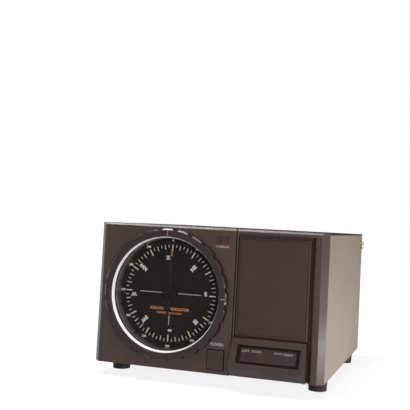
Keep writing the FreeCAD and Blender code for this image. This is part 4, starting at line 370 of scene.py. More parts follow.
class Tree:
    """The node tree of a material or the world, with short calls for the nodes it uses."""

    def __init__(self, owner: Any) -> None:
        """Takes and empties the node tree of its owner, a material or a world."""
        owner.use_nodes = True
        self.owner = owner
        self.nodes, self.links = owner.node_tree.nodes, owner.node_tree.links
        self.nodes.clear()

    @cached_property
    def place(self) -> Socket:
        """The object's own coordinates, in metres."""
        return self.add("ShaderNodeTexCoord").outputs["Object"]

    def add(self, kind: str, inputs: dict[Any, Any] | None = None, **settings: Any) -> bpy.types.Node:
        """Adds a node, sets its settings, and links or sets its inputs."""
        node = self.nodes.new(kind)
        for key, value in settings.items():
            setattr(node, key, value)
        for key, value in (inputs or {}).items():
            if isinstance(value, Socket):
                self.links.new(value, node.inputs[key])
            else:
                node.inputs[key].default_value = value
        return node

    def noise(self, size: float, detail: float, stretch: Point = (1.0, 1.0, 1.0)) -> Socket:
        """Cloudy values from 0 to 1 whose patches are `size` millimetres, longer where stretched."""
        scale = tuple(1 / s for s in stretch)
        mapped = self.add("ShaderNodeMapping", {"Vector": self.place, "Scale": scale})
        return self.add("ShaderNodeTexNoise", {"Vector": mapped.outputs[0], "Scale": 1 / (size * MM),
                                               "Detail": detail}).outputs[0]

    def cells(self, size: float) -> Socket:
        """One random value for each crystal of about `size` millimetres."""
        node = self.add("ShaderNodeTexVoronoi", {"Vector": self.place, "Scale": 1 / (size * MM)})
        return self.add("ShaderNodeSeparateColor", {0: node.outputs["Color"]}).outputs[0]

    def bands(self, width: float, direction: str, bend: float) -> Socket:
        """Even stripes `width` millimetres wide along one direction, with gaps as wide."""
        scale = WAVE_PERIOD / (width * MM) / 2
        return self.add("ShaderNodeTexWave", {"Vector": self.place, "Scale": scale, "Distortion": bend,
                                              "Detail": COARSE_DETAIL}, bands_direction=direction).outputs[1]

    def spread(self, value: Socket, low: float, high: float, start: float = 0.3,
               end: float = 0.7) -> Socket:
        """Spreads the values between start and end over low to high."""
        return self.add("ShaderNodeMapRange", {"Value": value, "From Min": start, "From Max": end,
                                               "To Min": low, "To Max": high}).outputs[0]

    def times(self, first: Socket, second: Any) -> Socket:
        """Multiplies two values."""
        return self.add("ShaderNodeMath", {0: first, 1: second}, operation="MULTIPLY").outputs[0]

    def mixed(self, share: Socket, first: Any, second: Any) -> Socket:
        """Goes from the first colour to the second as the share goes from 0 to 1."""
        node = self.add("ShaderNodeMix", data_type="RGBA")
        for key, value in ((0, share), (6, first), (7, second)):
            if isinstance(value, Socket):
                self.links.new(value, node.inputs[key])
            else:
                node.inputs[key].default_value = (*value, 1.0)
        return node.outputs[2]

    def rounding(self, radius: float) -> tuple[Socket, Socket]:
        """Rounds edges in the shading, and tells how near an edge a place is.

        Args:
            radius: the rounding in millimetres.

        Returns:
            The rounded normal, and a value that is 0 on flats and 1 on edges.
        """
        bevel = self.add("ShaderNodeBevel", {"Radius": radius * MM}, samples=BEVEL_SAMPLES).outputs[0]
        plain = self.add("ShaderNodeNewGeometry").outputs["Normal"]
        dot = self.add("ShaderNodeVectorMath", {0: bevel, 1: plain}, operation="DOT_PRODUCT")
        return bevel, self.spread(dot.outputs["Value"], 1.0, 0.0, EDGE_DOT, FLAT_DOT)

    def relief(self, height: Socket, depth: float, normal: Socket | None = None) -> Socket:
        """Raises and lowers the shading by a height pattern `depth` millimetres deep."""
        inputs = {"Height": height, "Distance": depth * MM, "Strength": 1.0}
        if normal is not None:
            inputs["Normal"] = normal
        return self.add("ShaderNodeBump", inputs).outputs[0]

    def done(self, shader: Socket, output: str = "ShaderNodeOutputMaterial") -> Any:
        """Joins the shader to an output node and gives the material or world."""
        self.add(output, {0: shader})
        return self.owner


@dataclass(frozen=True)
class Finish:
    """One kind of surface.

    The colour is darkened and lightened by `shade` in patches of `patch`, edges within `edge`
    go lighter by `wear`, gloss varies by `spread`, and the relief is `depth` deep and `size` wide.
    """

    colour: Colour
    roughness: float
    metallic: float = 0.0
    specular: float = 0.5
    shade: float = 0.12
    patch: float = 16.0
    depth: float = 0.02
    size: float = 0.35
    spread: float = 0.07
    edge: float = 0.35
    wear: float = 0.3
    coat: float = 0.0
    pattern: Pattern = Pattern.GRAIN
    direction: str = "Z"

    def tone(self, factor: float) -> Colour:
        """The colour made lighter or darker by a factor."""
        return tuple(min(1.0, c * factor) for c in self.colour)

    def relief(self, tree: Tree) -> Socket:
        """The height pattern of this surface's kind."""
        if self.pattern in (Pattern.WOUND, Pattern.STACKED, Pattern.WRAPPED):
            bend = PLATE_BEND if self.pattern is Pattern.STACKED else WIRE_BEND
            return tree.bands(self.size, self.direction, bend)
        if self.pattern is Pattern.WOVEN:
            return tree.times(*(tree.bands(self.size, way, WEAVE_BEND) for way in "XY"))
        if self.pattern is Pattern.TURNED:
            return tree.noise(self.size, FINE_DETAIL, LATHE_STRETCH)
        if self.pattern is Pattern.SPANGLE:
            return tree.cells(self.size)
        return tree.noise(self.size, FINE_DETAIL if self.pattern is Pattern.GRAIN else COARSE_DETAIL)

    def material(self, name: str) -> bpy.types.Material:
        """Builds the node tree of this finish.

        Args:
            name: the material's name.

        Returns:
            The material.
        """
        tree = Tree(bpy.data.materials.new(name))
        normal, near_edge = tree.rounding(self.edge)
        height = self.relief(tree)
        clouds = tree.spread(tree.noise(self.patch, CLOUD_DETAIL), 0.0, 1.0)
        colour = tree.mixed(clouds, self.tone(1 - self.shade), self.tone(1 + self.shade))
        if self.pattern not in (Pattern.GRAIN, Pattern.PEEL, Pattern.TURNED, Pattern.PRINTED):
            colour = tree.mixed(tree.times(height, CELL_SHARE), colour, self.tone(CELL_TONE))
        scuffs = tree.spread(tree.noise(WORN_PATCH, FINE_DETAIL), WORN_LEAST, 1.0)
        worn = tree.times(tree.times(near_edge, scuffs), self.wear)
        bare = tuple(min(1.0, c * WORN_GAIN + WORN_LIFT) for c in self.colour)
        colour = tree.mixed(worn, colour, bare)
        gloss = tree.spread(tree.noise(self.patch * GLOSS_PATCH, GLOSS_DETAIL),
                            self.roughness - self.spread, self.roughness + self.spread)
        shader = tree.add("ShaderNodeBsdfPrincipled", {
            "Base Color": colour, "Roughness": gloss, "Metallic": self.metallic,
            "Specular IOR Level": self.specular, "Coat Weight": self.coat,
            "Coat Roughness": COAT_ROUGHNESS, "Normal": tree.relief(height, self.depth, normal)})
        return tree.done(shader.outputs[0])


@dataclass(frozen=True)
class Pane:
    """A clear pane: what lies behind shows through it, and its gloss grows towards grazing views."""

    tint: Colour = (0.97, 0.98, 0.97)
    roughness: float = 0.03
    smear: float = 0.04
    smear_size: float = 14.0
    ripple_size: float = 22.0
    ripple_depth: float = 0.03
    index: float = 1.09

    def material(self, name: str) -> bpy.types.Material:
        """Mixes a transparent shader with a glossy one by Fresnel, over a faint smear pattern."""
        tree = Tree(bpy.data.materials.new(name))
        smear = tree.spread(tree.noise(self.smear_size, FINE_DETAIL), self.roughness,
                            self.roughness + self.smear)
        normal = tree.relief(tree.noise(self.ripple_size, COARSE_DETAIL), self.ripple_depth)
        clear = tree.add("ShaderNodeBsdfTransparent", {"Color": (*self.tint, 1.0)})
        gloss = tree.add("ShaderNodeBsdfGlossy", {"Roughness": smear, "Normal": normal})
        share = tree.add("ShaderNodeFresnel", {"IOR": self.index})
        both = tree.add("ShaderNodeMixShader", {0: share.outputs[0], 1: clear.outputs[0],
                                                2: gloss.outputs[0]})
        return tree.done(both.outputs[0])


def machined(colour: Colour, roughness: float, metallic: float = 1.0, depth: float = 0.01,
             wear: float = 0.3) -> Finish:
    """A machined metal with fine rings and scratches."""
    return Finish(colour, roughness, metallic=metallic, depth=depth, size=0.3, wear=wear,
                  pattern=Pattern.TURNED)


def printed(colour: Colour, roughness: float = 0.6, specular: float = 0.5, shade: float = 0.1,
            depth: float = 0.004) -> Finish:
    """A thin print or painted mark, whose edges don't wear."""
    return Finish(colour, roughness, specular=specular, shade=shade, depth=depth, size=0.3,
                  patch=2.0, wear=0.0)


# One finish for each material slot of the frame, and those that only this scene's pieces have.
FINISHES: dict[str, Finish | Pane] = {
    "bezel_moulding": Finish(ink(68, 54, 47), 0.33, specular=0.26, depth=0.012, size=0.5, patch=34.0,
                             wear=0.12, shade=0.1, edge=0.6),
    "panel_moulding": Finish(ink(59, 42, 37), 0.45, specular=0.22, depth=0.012, size=0.5, patch=28.0,
                             wear=0.2, shade=0.08),
    "housing_moulding": Finish(ink(54, 41, 36), 0.48, specular=0.22, depth=0.012, size=0.5,
                               patch=22.0, wear=0.2, shade=0.1),
    "button_moulding": Finish(ink(60, 47, 41), 0.42, specular=0.25, depth=0.01, size=0.4, patch=8.0),
    "key_moulding": Finish(ink(45, 32, 28), 0.48, specular=0.2, depth=0.01, size=0.4, patch=9.0,
                           wear=0.35),
    # Partly the side panels' own taupe paint and partly painted light: lighter than the front for the light
    # that falls on them from the right.
    "side_paint": Finish(ink(134, 124, 115), 0.6, specular=0.0, shade=0.03, depth=0.008, size=1.4,
                         patch=60.0, pattern=Pattern.PEEL, wear=0.15, spread=0.03),
    # Painted shade: the top cover is near black for the darkness of its unlit top, though its paint is the
    # side panels' taupe.
    "lid_paint": Finish(ink(12, 10, 9), 0.75, specular=0.06, shade=0.1, depth=0.005, size=1.2,
                        pattern=Pattern.PEEL, wear=0.0, edge=0.1),
    "dark_paint": Finish(ink(36, 33, 31), 0.5, shade=0.1, depth=0.03, size=1.2, pattern=Pattern.PEEL),
    "ring_acrylic": Finish(ink(42, 28, 22), 0.16, specular=0.3, shade=0.06, depth=0.001, size=0.8,
                           patch=14.0, spread=0.02, wear=0.0, edge=0.1),
    "rim_plastic": Finish(ink(104, 99, 92), 0.3, shade=0.1, depth=0.003, size=0.4, wear=0.1),
    "dial_print": Finish(ink(47, 40, 37), 0.8, specular=0.0, shade=0.06, depth=0.001, size=0.3,
                         patch=20.0, wear=0.0, pattern=Pattern.PRINTED),
    "pointer_paint": Finish(ink(52, 49, 45), 0.6, specular=0.05, shade=0.06, depth=0.001, size=0.4,
                            wear=0.0),
    "hub_plastic": Finish(ink(38, 34, 32), 0.5, specular=0.04, shade=0.08, depth=0.001, size=0.5,
                          wear=0.0),
    "window_plastic": Finish(ink(50, 34, 31), 0.34, specular=0.35, shade=0.1, depth=0.004, size=0.5),
    "red_lens": Finish(ink(88, 26, 22), 0.22, specular=0.4, shade=0.14, depth=0.01, size=1.0,
                       patch=2.0),
    "black_plastic": Finish(ink(26, 25, 25), 0.42, shade=0.1),
    "insert_plastic": Finish(ink(24, 23, 24), 0.4, shade=0.1),
    "cap_plastic": Finish(ink(28, 27, 27), 0.38, shade=0.1),
    "component_plastic": Finish(ink(36, 46, 66), 0.45, shade=0.12),
    "former_plastic": Finish(ink(222, 216, 200), 0.5, shade=0.05),
    "foot_rubber": Finish(ink(26, 24, 23), 0.75, specular=0.25, shade=0.15, depth=0.05, size=0.6,
                          wear=0.15),
    "plated_steel": Finish(ink(176, 172, 156), 0.36, metallic=0.9, depth=0.01, size=5.0, patch=9.0,
                           pattern=Pattern.SPANGLE, wear=0.1),
    "capacitor_can": machined(ink(190, 190, 188), 0.3),
    "nickel_shell": machined(ink(186, 184, 176), 0.25),
    "shaft_steel": machined(ink(170, 170, 168), 0.22, depth=0.008),
    "spring_steel": machined(ink(150, 150, 148), 0.28, depth=0.008),
    "steel_screw": machined(ink(176, 174, 168), 0.3),
    "brass_screw": machined(ink(150, 142, 128), 0.35, metallic=0.8, depth=0.004),
    "bush_brass": machined(ink(200, 166, 96), 0.3),
    "nut_brass": machined(ink(206, 172, 98), 0.3),
    "blackened_steel": machined(ink(38, 34, 33), 0.4, metallic=0.7, depth=0.004, wear=0.1),
    "magnet_ferrite": Finish(ink(58, 57, 58), 0.6, shade=0.2, depth=0.03, size=0.6),
    "copper_wire": Finish(ink(178, 98, 50), 0.32, metallic=0.8, depth=0.08, size=0.45,
                          pattern=Pattern.WOUND, direction="Y", coat=0.3),
    "lamp_glass": Finish(ink(226, 214, 176), 0.15, shade=0.06, depth=0.005, size=1.0, coat=0.6),
    "board_laminate": Finish(ink(150, 120, 58), 0.45, shade=0.08, depth=0.02, size=0.6,
                             pattern=Pattern.WOVEN),
    "core_iron": Finish(ink(92, 88, 84), 0.5, metallic=0.6, depth=0.08, size=0.5,
                        pattern=Pattern.STACKED, direction="Y"),
    "coil_tape": Finish(ink(206, 172, 76), 0.4, shade=0.08, depth=0.05, size=3.0,
                        pattern=Pattern.WRAPPED, coat=0.2),
    # Painted reflection: the near-white band on the ring's inner wall stands in for the glint of its clear
    # wall, and the lamps fade it round the ring.
    "painted_reflection_band": Finish(ink(240, 235, 231), 0.5, specular=0.05, shade=0.03, depth=0.001,
                             size=0.6, patch=9.0, wear=0.0),
    # Painted shade: a near-black skin on the ring's fluted side, darker than the ring, for the shade that
    # side wall lies in.
    "painted_shade_skin": Finish(ink(12, 10, 9), 0.8, specular=0.08, shade=0.1, depth=0.01, size=0.4,
                          patch=6.0, wear=0.0),
    "clear_lens": Pane(),
    "dim_print": printed(ink(168, 172, 170), 0.55, specular=0.2, shade=0.08),
    "pale_print": printed(ink(196, 208, 206), 0.55, shade=0.08),
    "white_print": printed(ink(236, 234, 228), shade=0.06),
    "cream_print": printed(ink(250, 240, 212), shade=0.05, depth=0.001),
    "orange_print": printed(ink(255, 164, 100), shade=0.05, depth=0.001),
    "red_mark": printed(ink(200, 104, 94), 0.5, specular=0.1),
    "dark_red_mark": printed(ink(72, 26, 22), 0.5, specular=0.1),
    "grey_mark": printed(ink(166, 160, 150), 0.5),
}

# A node painted darker than its slot's finish, as painted shade: bright metal showed beside the key, in a
# gap that lies in shade.
SHADE_DARKENED_NODES = {"key_pivot_pin": "blackened_steel"}


class Palette:
    """Makes each finish's material once, and dresses the frame's own nodes."""

    def __init__(self) -> None:
        """Starts with no materials made."""
        self.made: dict[str, bpy.types.Material] = {}

    def __getitem__(self, name: str) -> bpy.types.Material:
        """The material of a finish, made when it is first asked for."""
        if name not in self.made:
            self.made[name] = FINISHES[name].material(name + "_finish")
        return self.made[name]

    def dress_nodes(self) -> None:
        """Gives every node of the frame the finish of its material slot, and the key's pivot pin a darker
        one as painted shade.
        """
        for name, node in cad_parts.items():
            slot = node.material_slots[0]
            slot.material = self[SHADE_DARKENED_NODES.get(name, slot.material.name)]
        LOG.info("dressed %d nodes of the frame", len(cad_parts))


# Pieces. The print's back lies a little inside its face, and its front a little outside.
FRONT_Y = -103.0
FRONT_FACE = Face((0.0, FRONT_Y, 0.0))
DIAL_FACE = Face((-35.7, FRONT_Y, 72.55))
INK_LOW, INK_HIGH = -0.02, 0.03


def band(radius: np.ndarray, outs: np.ndarray, over: float, under: float) -> np.ndarray:
    """A closed strip's profile: out along radius + over, and back along radius - under."""
    return np.concatenate([np.stack([radius + over, outs], axis=1),
                           np.stack([radius - under, outs], axis=1)[::-1]])


@dataclass
class RingAssembly:
    """The turning index ring round the meter: its shell, a near-white band painted on its inner wall as a
    reflection, a near-black band painted on its fluted side as shade, and its marks.

    Outs are distances in front of the bezel's face. Each mark has its name, finish, middle and size.
    """

    palette: Palette
    radius: float = 54.8
    front: float = 5.0
    chamfer: float = 1.4
    gap: float = 0.4
    bore: float = 48.3
    rear_bore: float = 46.4
    bore_step: float = -1.0
    rear_out: float = -0.8
    sleeve: float = 50.0
    lip: float = 51.0
    lip_front: float = -3.3
    lip_rear: float = -4.3
    roundings: tuple[float, ...] = (0.7, 0.15, 0.15, 0.5, 0.3, 0.1, 0.2, 0.2, 0.2, 0.1, 0.15)
    flutes: int = 24
    flute_reach: float = 56.3
    flute_radius: float = 2.95
    steps: int = 720
    band_inset: float = 0.9
    band_end: float = 0.9
    band_over: float = 0.01
    band_under: float = 0.05
    band_rows: int = 8
    grip_start: float = 0.5
    grip_inset: float = 0.15
    grip_over: float = 0.03
    grip_under: float = 0.05
    mark_rise: float = 0.04
    mark_rows: tuple[tuple[str, str, Pair, Pair], ...] = (
        ("ring_index_line", "red_mark", (0.2, 50.75), (0.75, 4.2)),
        ("ring_index_patch", "dark_red_mark", (-1.9, 50.8), (2.4, 3.4)),
        ("ring_side_line", "grey_mark", (51.75, -0.35), (4.4, 0.6)))

    @property
    def limit(self) -> np.ndarray:
        """The ring's largest radius at each angle, where the flutes cut into it."""
        return fluted(self.flutes, self.flute_reach, self.flute_radius, self.steps)

    def build(self) -> None:
        """Builds the ring and what lies on it."""
        outline = [(self.bore, self.front), (self.radius - self.chamfer, self.front),
                   (self.radius, self.front - self.chamfer), (self.radius, self.gap),
                   (self.sleeve, self.gap), (self.sleeve, self.lip_front), (self.lip, self.lip_front),
                   (self.lip, self.lip_rear), (self.bore, self.lip_rear), (self.bore, self.bore_step),
                   (self.rear_bore, self.rear_out)]
        rows = turned(softened(outline, self.roundings, steps=6), DIAL_FACE, self.steps, self.limit)
        ring = Shape.grid(rows, ring_rows=True).made("ring_shell", self.palette["ring_acrylic"], Body.RING)
        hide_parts("index_ring")
        # The pale inner band is a painted reflection.
        self.bevel()
        # The dark skin on the fluted side is painted shade.
        self.grip()
        self.marks()

    def bevel(self) -> None:
        """Lays a near-white band on the ring's sloping inner wall, as a thin closed strip: a painted
        reflection for the glint of the clear wall.
        """
        slope = (self.bore - self.rear_bore) / (self.front - self.rear_out)
        outs = np.linspace(self.front - self.band_inset, self.band_end, self.band_rows)
        radius = self.rear_bore + slope * (outs - self.rear_out)
        strip = band(radius, outs, self.band_over, self.band_under)
        rows = turned(strip, DIAL_FACE, steps=240)
        Shape.grid(rows, ring_rows=True).made("ring_painted_reflection", self.palette["painted_reflection_band"], Body.RING)

    def grip(self) -> None:
        """Wraps a thin closed near-black band round the ring's fluted side, as painted shade for that side
        wall.
        """
        outs = np.array([self.gap + self.grip_start, self.front - self.chamfer - self.grip_inset])
        strip = band(np.full(len(outs), self.radius), outs, self.grip_over, self.grip_under)
        skin = np.repeat([self.grip_over, -self.grip_under], len(outs))[:, None]
        rows = turned(strip, DIAL_FACE, self.steps, self.limit[None] + skin)
        Shape.grid(rows, ring_rows=True).made("ring_painted_shade", self.palette["painted_shade_skin"], Body.RING)

    def marks(self) -> None:
        """Prints the red index line with its dark patch at the top, and the grey line at the right."""
        for name, finish, at, size in self.mark_rows:
            mark = bars(np.array([at]), np.array([size]), np.zeros(1), DIAL_FACE,
                        self.front + INK_LOW, self.front + self.mark_rise)
            mark.made(name, self.palette[finish], Body.RING)


@dataclass
class MeterAssembly:
    """The meter behind the ring: its rim, dial print, pointer and hub.

    Outs are distances in front of the bezel's face. Each kind of tick has the degrees from one to
    the next, its inner end and its width, and each compass point its name, distance and angle.
    """

    palette: Palette
    dial_out: float = -9.5
    rim_radius: float = 48.0
    rim_front: float = -1.1
    lens_seat: float = 47.05
    lens_rear: float = -2.6
    rim_bore: float = 46.2
    rim_rear_bore: float = 46.0
    rim_rounding: float = 0.15
    tick_end: float = 41.0
    tick_kinds: tuple[tuple[int, float, float], ...] = (
        (30, 35.3, 0.9), (10, 37.0, 0.62), (5, 38.6, 0.55))
    line_middles: tuple[Pair, ...] = ((17.5, 0.0), (-17.5, 0.0), (0.0, -23.0))
    line_sizes: tuple[Pair, ...] = ((21.0, 0.45), (21.0, 0.45), (0.45, 8.0))
    number_gap: int = 30
    number_height: float = 2.1
    number_weight: float = 0.08
    digit_width: float = 1.3
    number_limit: float = 45.8
    point_height: float = 3.5
    point_weight: float = 0.06
    compass: tuple[tuple[str, float, float], ...] = (
        ("N", 30.0, -7.0), ("NE", 29.7, 42.0), ("E", 32.0, 87.5), ("SE", 33.0, 133.0),
        ("S", 31.5, 177.5), ("SW", 32.6, 223.0), ("W", 33.6, 264.5), ("NW", 33.2, 308.0))
    words: tuple[Words, ...] = (
        Words("AZIMUTH", (-11.6, -13.3), 2.6, 12.4, weight=0.02),
        Words("INDICATOR", (8.6, -13.3), 2.6, 18.8, weight=0.02),
        Words("DEGREES", (-7.2, -16.9), 1.7, 8.6, weight=0.01),
        Words("FROM NORTH", (5.2, -16.9), 1.7, 12.2, weight=0.01))
    pointer_reach: float = 38.2
    pointer_tail: float = 15.0
    tip_start: float = 31.3
    tip_taper: float = 16.0
    blade_width: float = 2.4
    tip_width: float = 1.1
    blade_front: float = -7.6
    blade_thickness: float = 0.8
    blade_steps: int = 24
    tip_steps: int = 12
    section_points: int = 12
    flank_power: float = 0.5
    crest_power: float = 0.7
    disc_radius: float = 4.5
    disc_rounding: float = 0.2
    hub_radius: float = 6.0
    hub_front: float = -5.0
    hub_rear: float = -7.6
    hub_crown: tuple[Pair, ...] = (
        (6.0, 0.5), (5.0, 0.05), (2.0, 0.0), (1.6, 0.25), (0.0, 0.3))
    hub_roundings: tuple[float, ...] = (0.0, 0.2, 0.8, 0.6, 0.2, 0.2, 0.0)

    @property
    def print_outs(self) -> Pair:
        """Where the back and the front of the dial's print lie."""
        return self.dial_out + INK_LOW, self.dial_out + INK_HIGH

    def build(self) -> None:
        """Builds every piece of the meter that shows."""
        self.rim()
        self.ticks()
        self.lettering()
        self.pointer()
        self.hub()

    def rim(self) -> None:
        """Turns the sloping wall between the lens and the dial."""
        outline = [(self.rim_radius, self.rim_front), (self.rim_radius, self.dial_out),
                   (self.rim_rear_bore, self.dial_out), (self.rim_bore, self.lens_rear),
                   (self.lens_seat, self.lens_rear), (self.lens_seat, self.rim_front)]
        rows = turned(softened(outline, self.rim_rounding, steps=3), DIAL_FACE, steps=180)
        wall = Shape.grid(rows, ring_rows=True)
        rim = wall.made("meter_rim_wall", self.palette["rim_plastic"], Body.CABINET)
        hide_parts("meter_rim")

    def ticks(self) -> None:
        """Prints the scale's ticks, each of the first kind that its angle fits, and the middle lines."""
        gaps, starts, widths = zip(*self.tick_kinds)
        degrees = np.arange(0, 360, gaps[-1])
        kinds = [degrees % gap == 0 for gap in gaps]
        start, width = np.select(kinds, starts), np.select(kinds, widths)
        angle = np.radians(degrees)
        reach = (start + self.tick_end) / 2
        middles = np.stack([reach * np.sin(angle), reach * np.cos(angle)], axis=1)
        sizes = np.stack([width, self.tick_end - start], axis=1)
        scale = bars(middles, sizes, -angle, DIAL_FACE, *self.print_outs)
        scale.made("dial_ticks", self.palette["cream_print"], Body.CABINET)
        middles, sizes = np.array(self.line_middles), np.array(self.line_sizes)
        lines = bars(middles, sizes, np.zeros(len(middles)), DIAL_FACE, *self.print_outs)
        lines.made("dial_lines", self.palette["white_print"], Body.CABINET)

    def number(self, degrees: int) -> Words:
        """One upright number outside the ticks, as far out as its corners stay in the dial's view.

        Its middle is at limit - (w/2 |sin a| + h/2 |cos a|) along the angle a.
        """
        text, angle = str(degrees), math.radians(degrees)
        width, height = self.digit_width * len(text), self.number_height
        reach = self.number_limit - (width * abs(math.sin(angle)) + height * abs(math.cos(angle))) / 2
        at = (reach * math.sin(angle), reach * math.cos(angle))
        return Words(text, at, height, width, weight=self.number_weight)

    def point(self, name: str, distance: float, degrees: float) -> Words:
        """One compass point, with its top a quarter turn to the left of the way out."""
        angle = math.radians(degrees)
        at = (distance * math.sin(angle), distance * math.cos(angle))
        return Words(name, at, self.point_height, turn=90.0 - degrees, weight=self.point_weight)

    def lettering(self) -> None:
        """Prints the degrees, the compass points and two rows of plain words on the dial."""
        numbers = [self.number(d) for d in range(0, 360, self.number_gap)]
        points = [self.point(*row) for row in self.compass]
        for name, finish, rows in (("dial_numbers", "white_print", numbers),
                                   ("dial_points", "white_print", points),
                                   ("dial_words", "orange_print", self.words)):
            shape = Shape.joined([row.shape(DIAL_FACE, *self.print_outs) for row in rows])
            shape.made(name, self.palette[finish], Body.CABINET)

    def blade(self, start: float, end: float, steps: int) -> Shape:
        """A length of the pointer as a closed bar with a low crest.

        At a place along it the half width w goes from half the blade's width to half the tip's
        over the taper. The section is w c across and thickness (1 - r) / 2 behind the front, where
        c is cos a to the flank's power and r is sin a to the crest's, each keeping its sign.

        Args:
            start: where the length starts, from the axis.
            end: where it ends.
            steps: how many places along it.

        Returns:
            The closed shape.
        """
        along = np.linspace(start, end, steps)
        taper = np.clip((along - (self.pointer_reach - self.tip_taper)) / self.tip_taper, 0.0, 1.0)
        half = (self.blade_width + (self.tip_width - self.blade_width) * taper) / 2
        angle = np.linspace(0.0, 2 * np.pi, self.section_points, endpoint=False)
        across = half[:, None] * np.sign(np.cos(angle)) * np.abs(np.cos(angle)) ** self.flank_power
        rise = np.sign(np.sin(angle)) * np.abs(np.sin(angle)) ** self.crest_power
        out = self.blade_front - self.blade_thickness * (0.5 - 0.5 * rise)
        rows = np.stack([across, np.broadcast_to(along[:, None], across.shape),
                         np.broadcast_to(out, across.shape)], axis=-1)
        middle = np.array([0.0, 0.0, self.blade_front - self.blade_thickness / 2])
        ends = [np.broadcast_to(middle + (0.0, s, 0.0), (1, self.section_points, 3)) for s in (start, end)]
        return Shape.grid(DIAL_FACE.place(np.concatenate([ends[0], rows, ends[1]])))

    def pointer(self) -> None:
        """Builds the grey blade with the disc at its middle, and its red tip."""
        blade = self.blade(-self.pointer_tail, self.tip_start, self.blade_steps)
        rear = self.blade_front - self.blade_thickness
        outline = [(0.0, rear), (self.disc_radius, rear), (self.disc_radius, self.blade_front),
                   (0.0, self.blade_front)]
        profile = softened(outline, self.disc_rounding, steps=4, closed=False)
        disc = Shape.grid(turned(profile, DIAL_FACE, steps=48))
        whole = Shape.joined([blade, disc])
        body = whole.made("pointer_blade", self.palette["pointer_paint"], Body.POINTER)
        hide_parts("pointer")
        tip = self.blade(self.tip_start, self.pointer_reach, self.tip_steps)
        tip.made("pointer_tip", self.palette["red_mark"], Body.POINTER)

    def hub(self) -> None:
        """Turns the cap over the pointer's middle, from its crown's rows of radius and drop."""
        outline = [(0.0, self.hub_rear), (self.hub_radius, self.hub_rear)]
        outline += [(radius, self.hub_front - drop) for radius, drop in self.hub_crown]
        profile = softened(outline, self.hub_roundings, steps=6, closed=False)
        rows = turned(profile, DIAL_FACE, steps=72)
        hub = Shape.grid(rows).made("hub_cap", self.palette["hub_plastic"], Body.POINTER)
        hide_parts("pointer_hub")


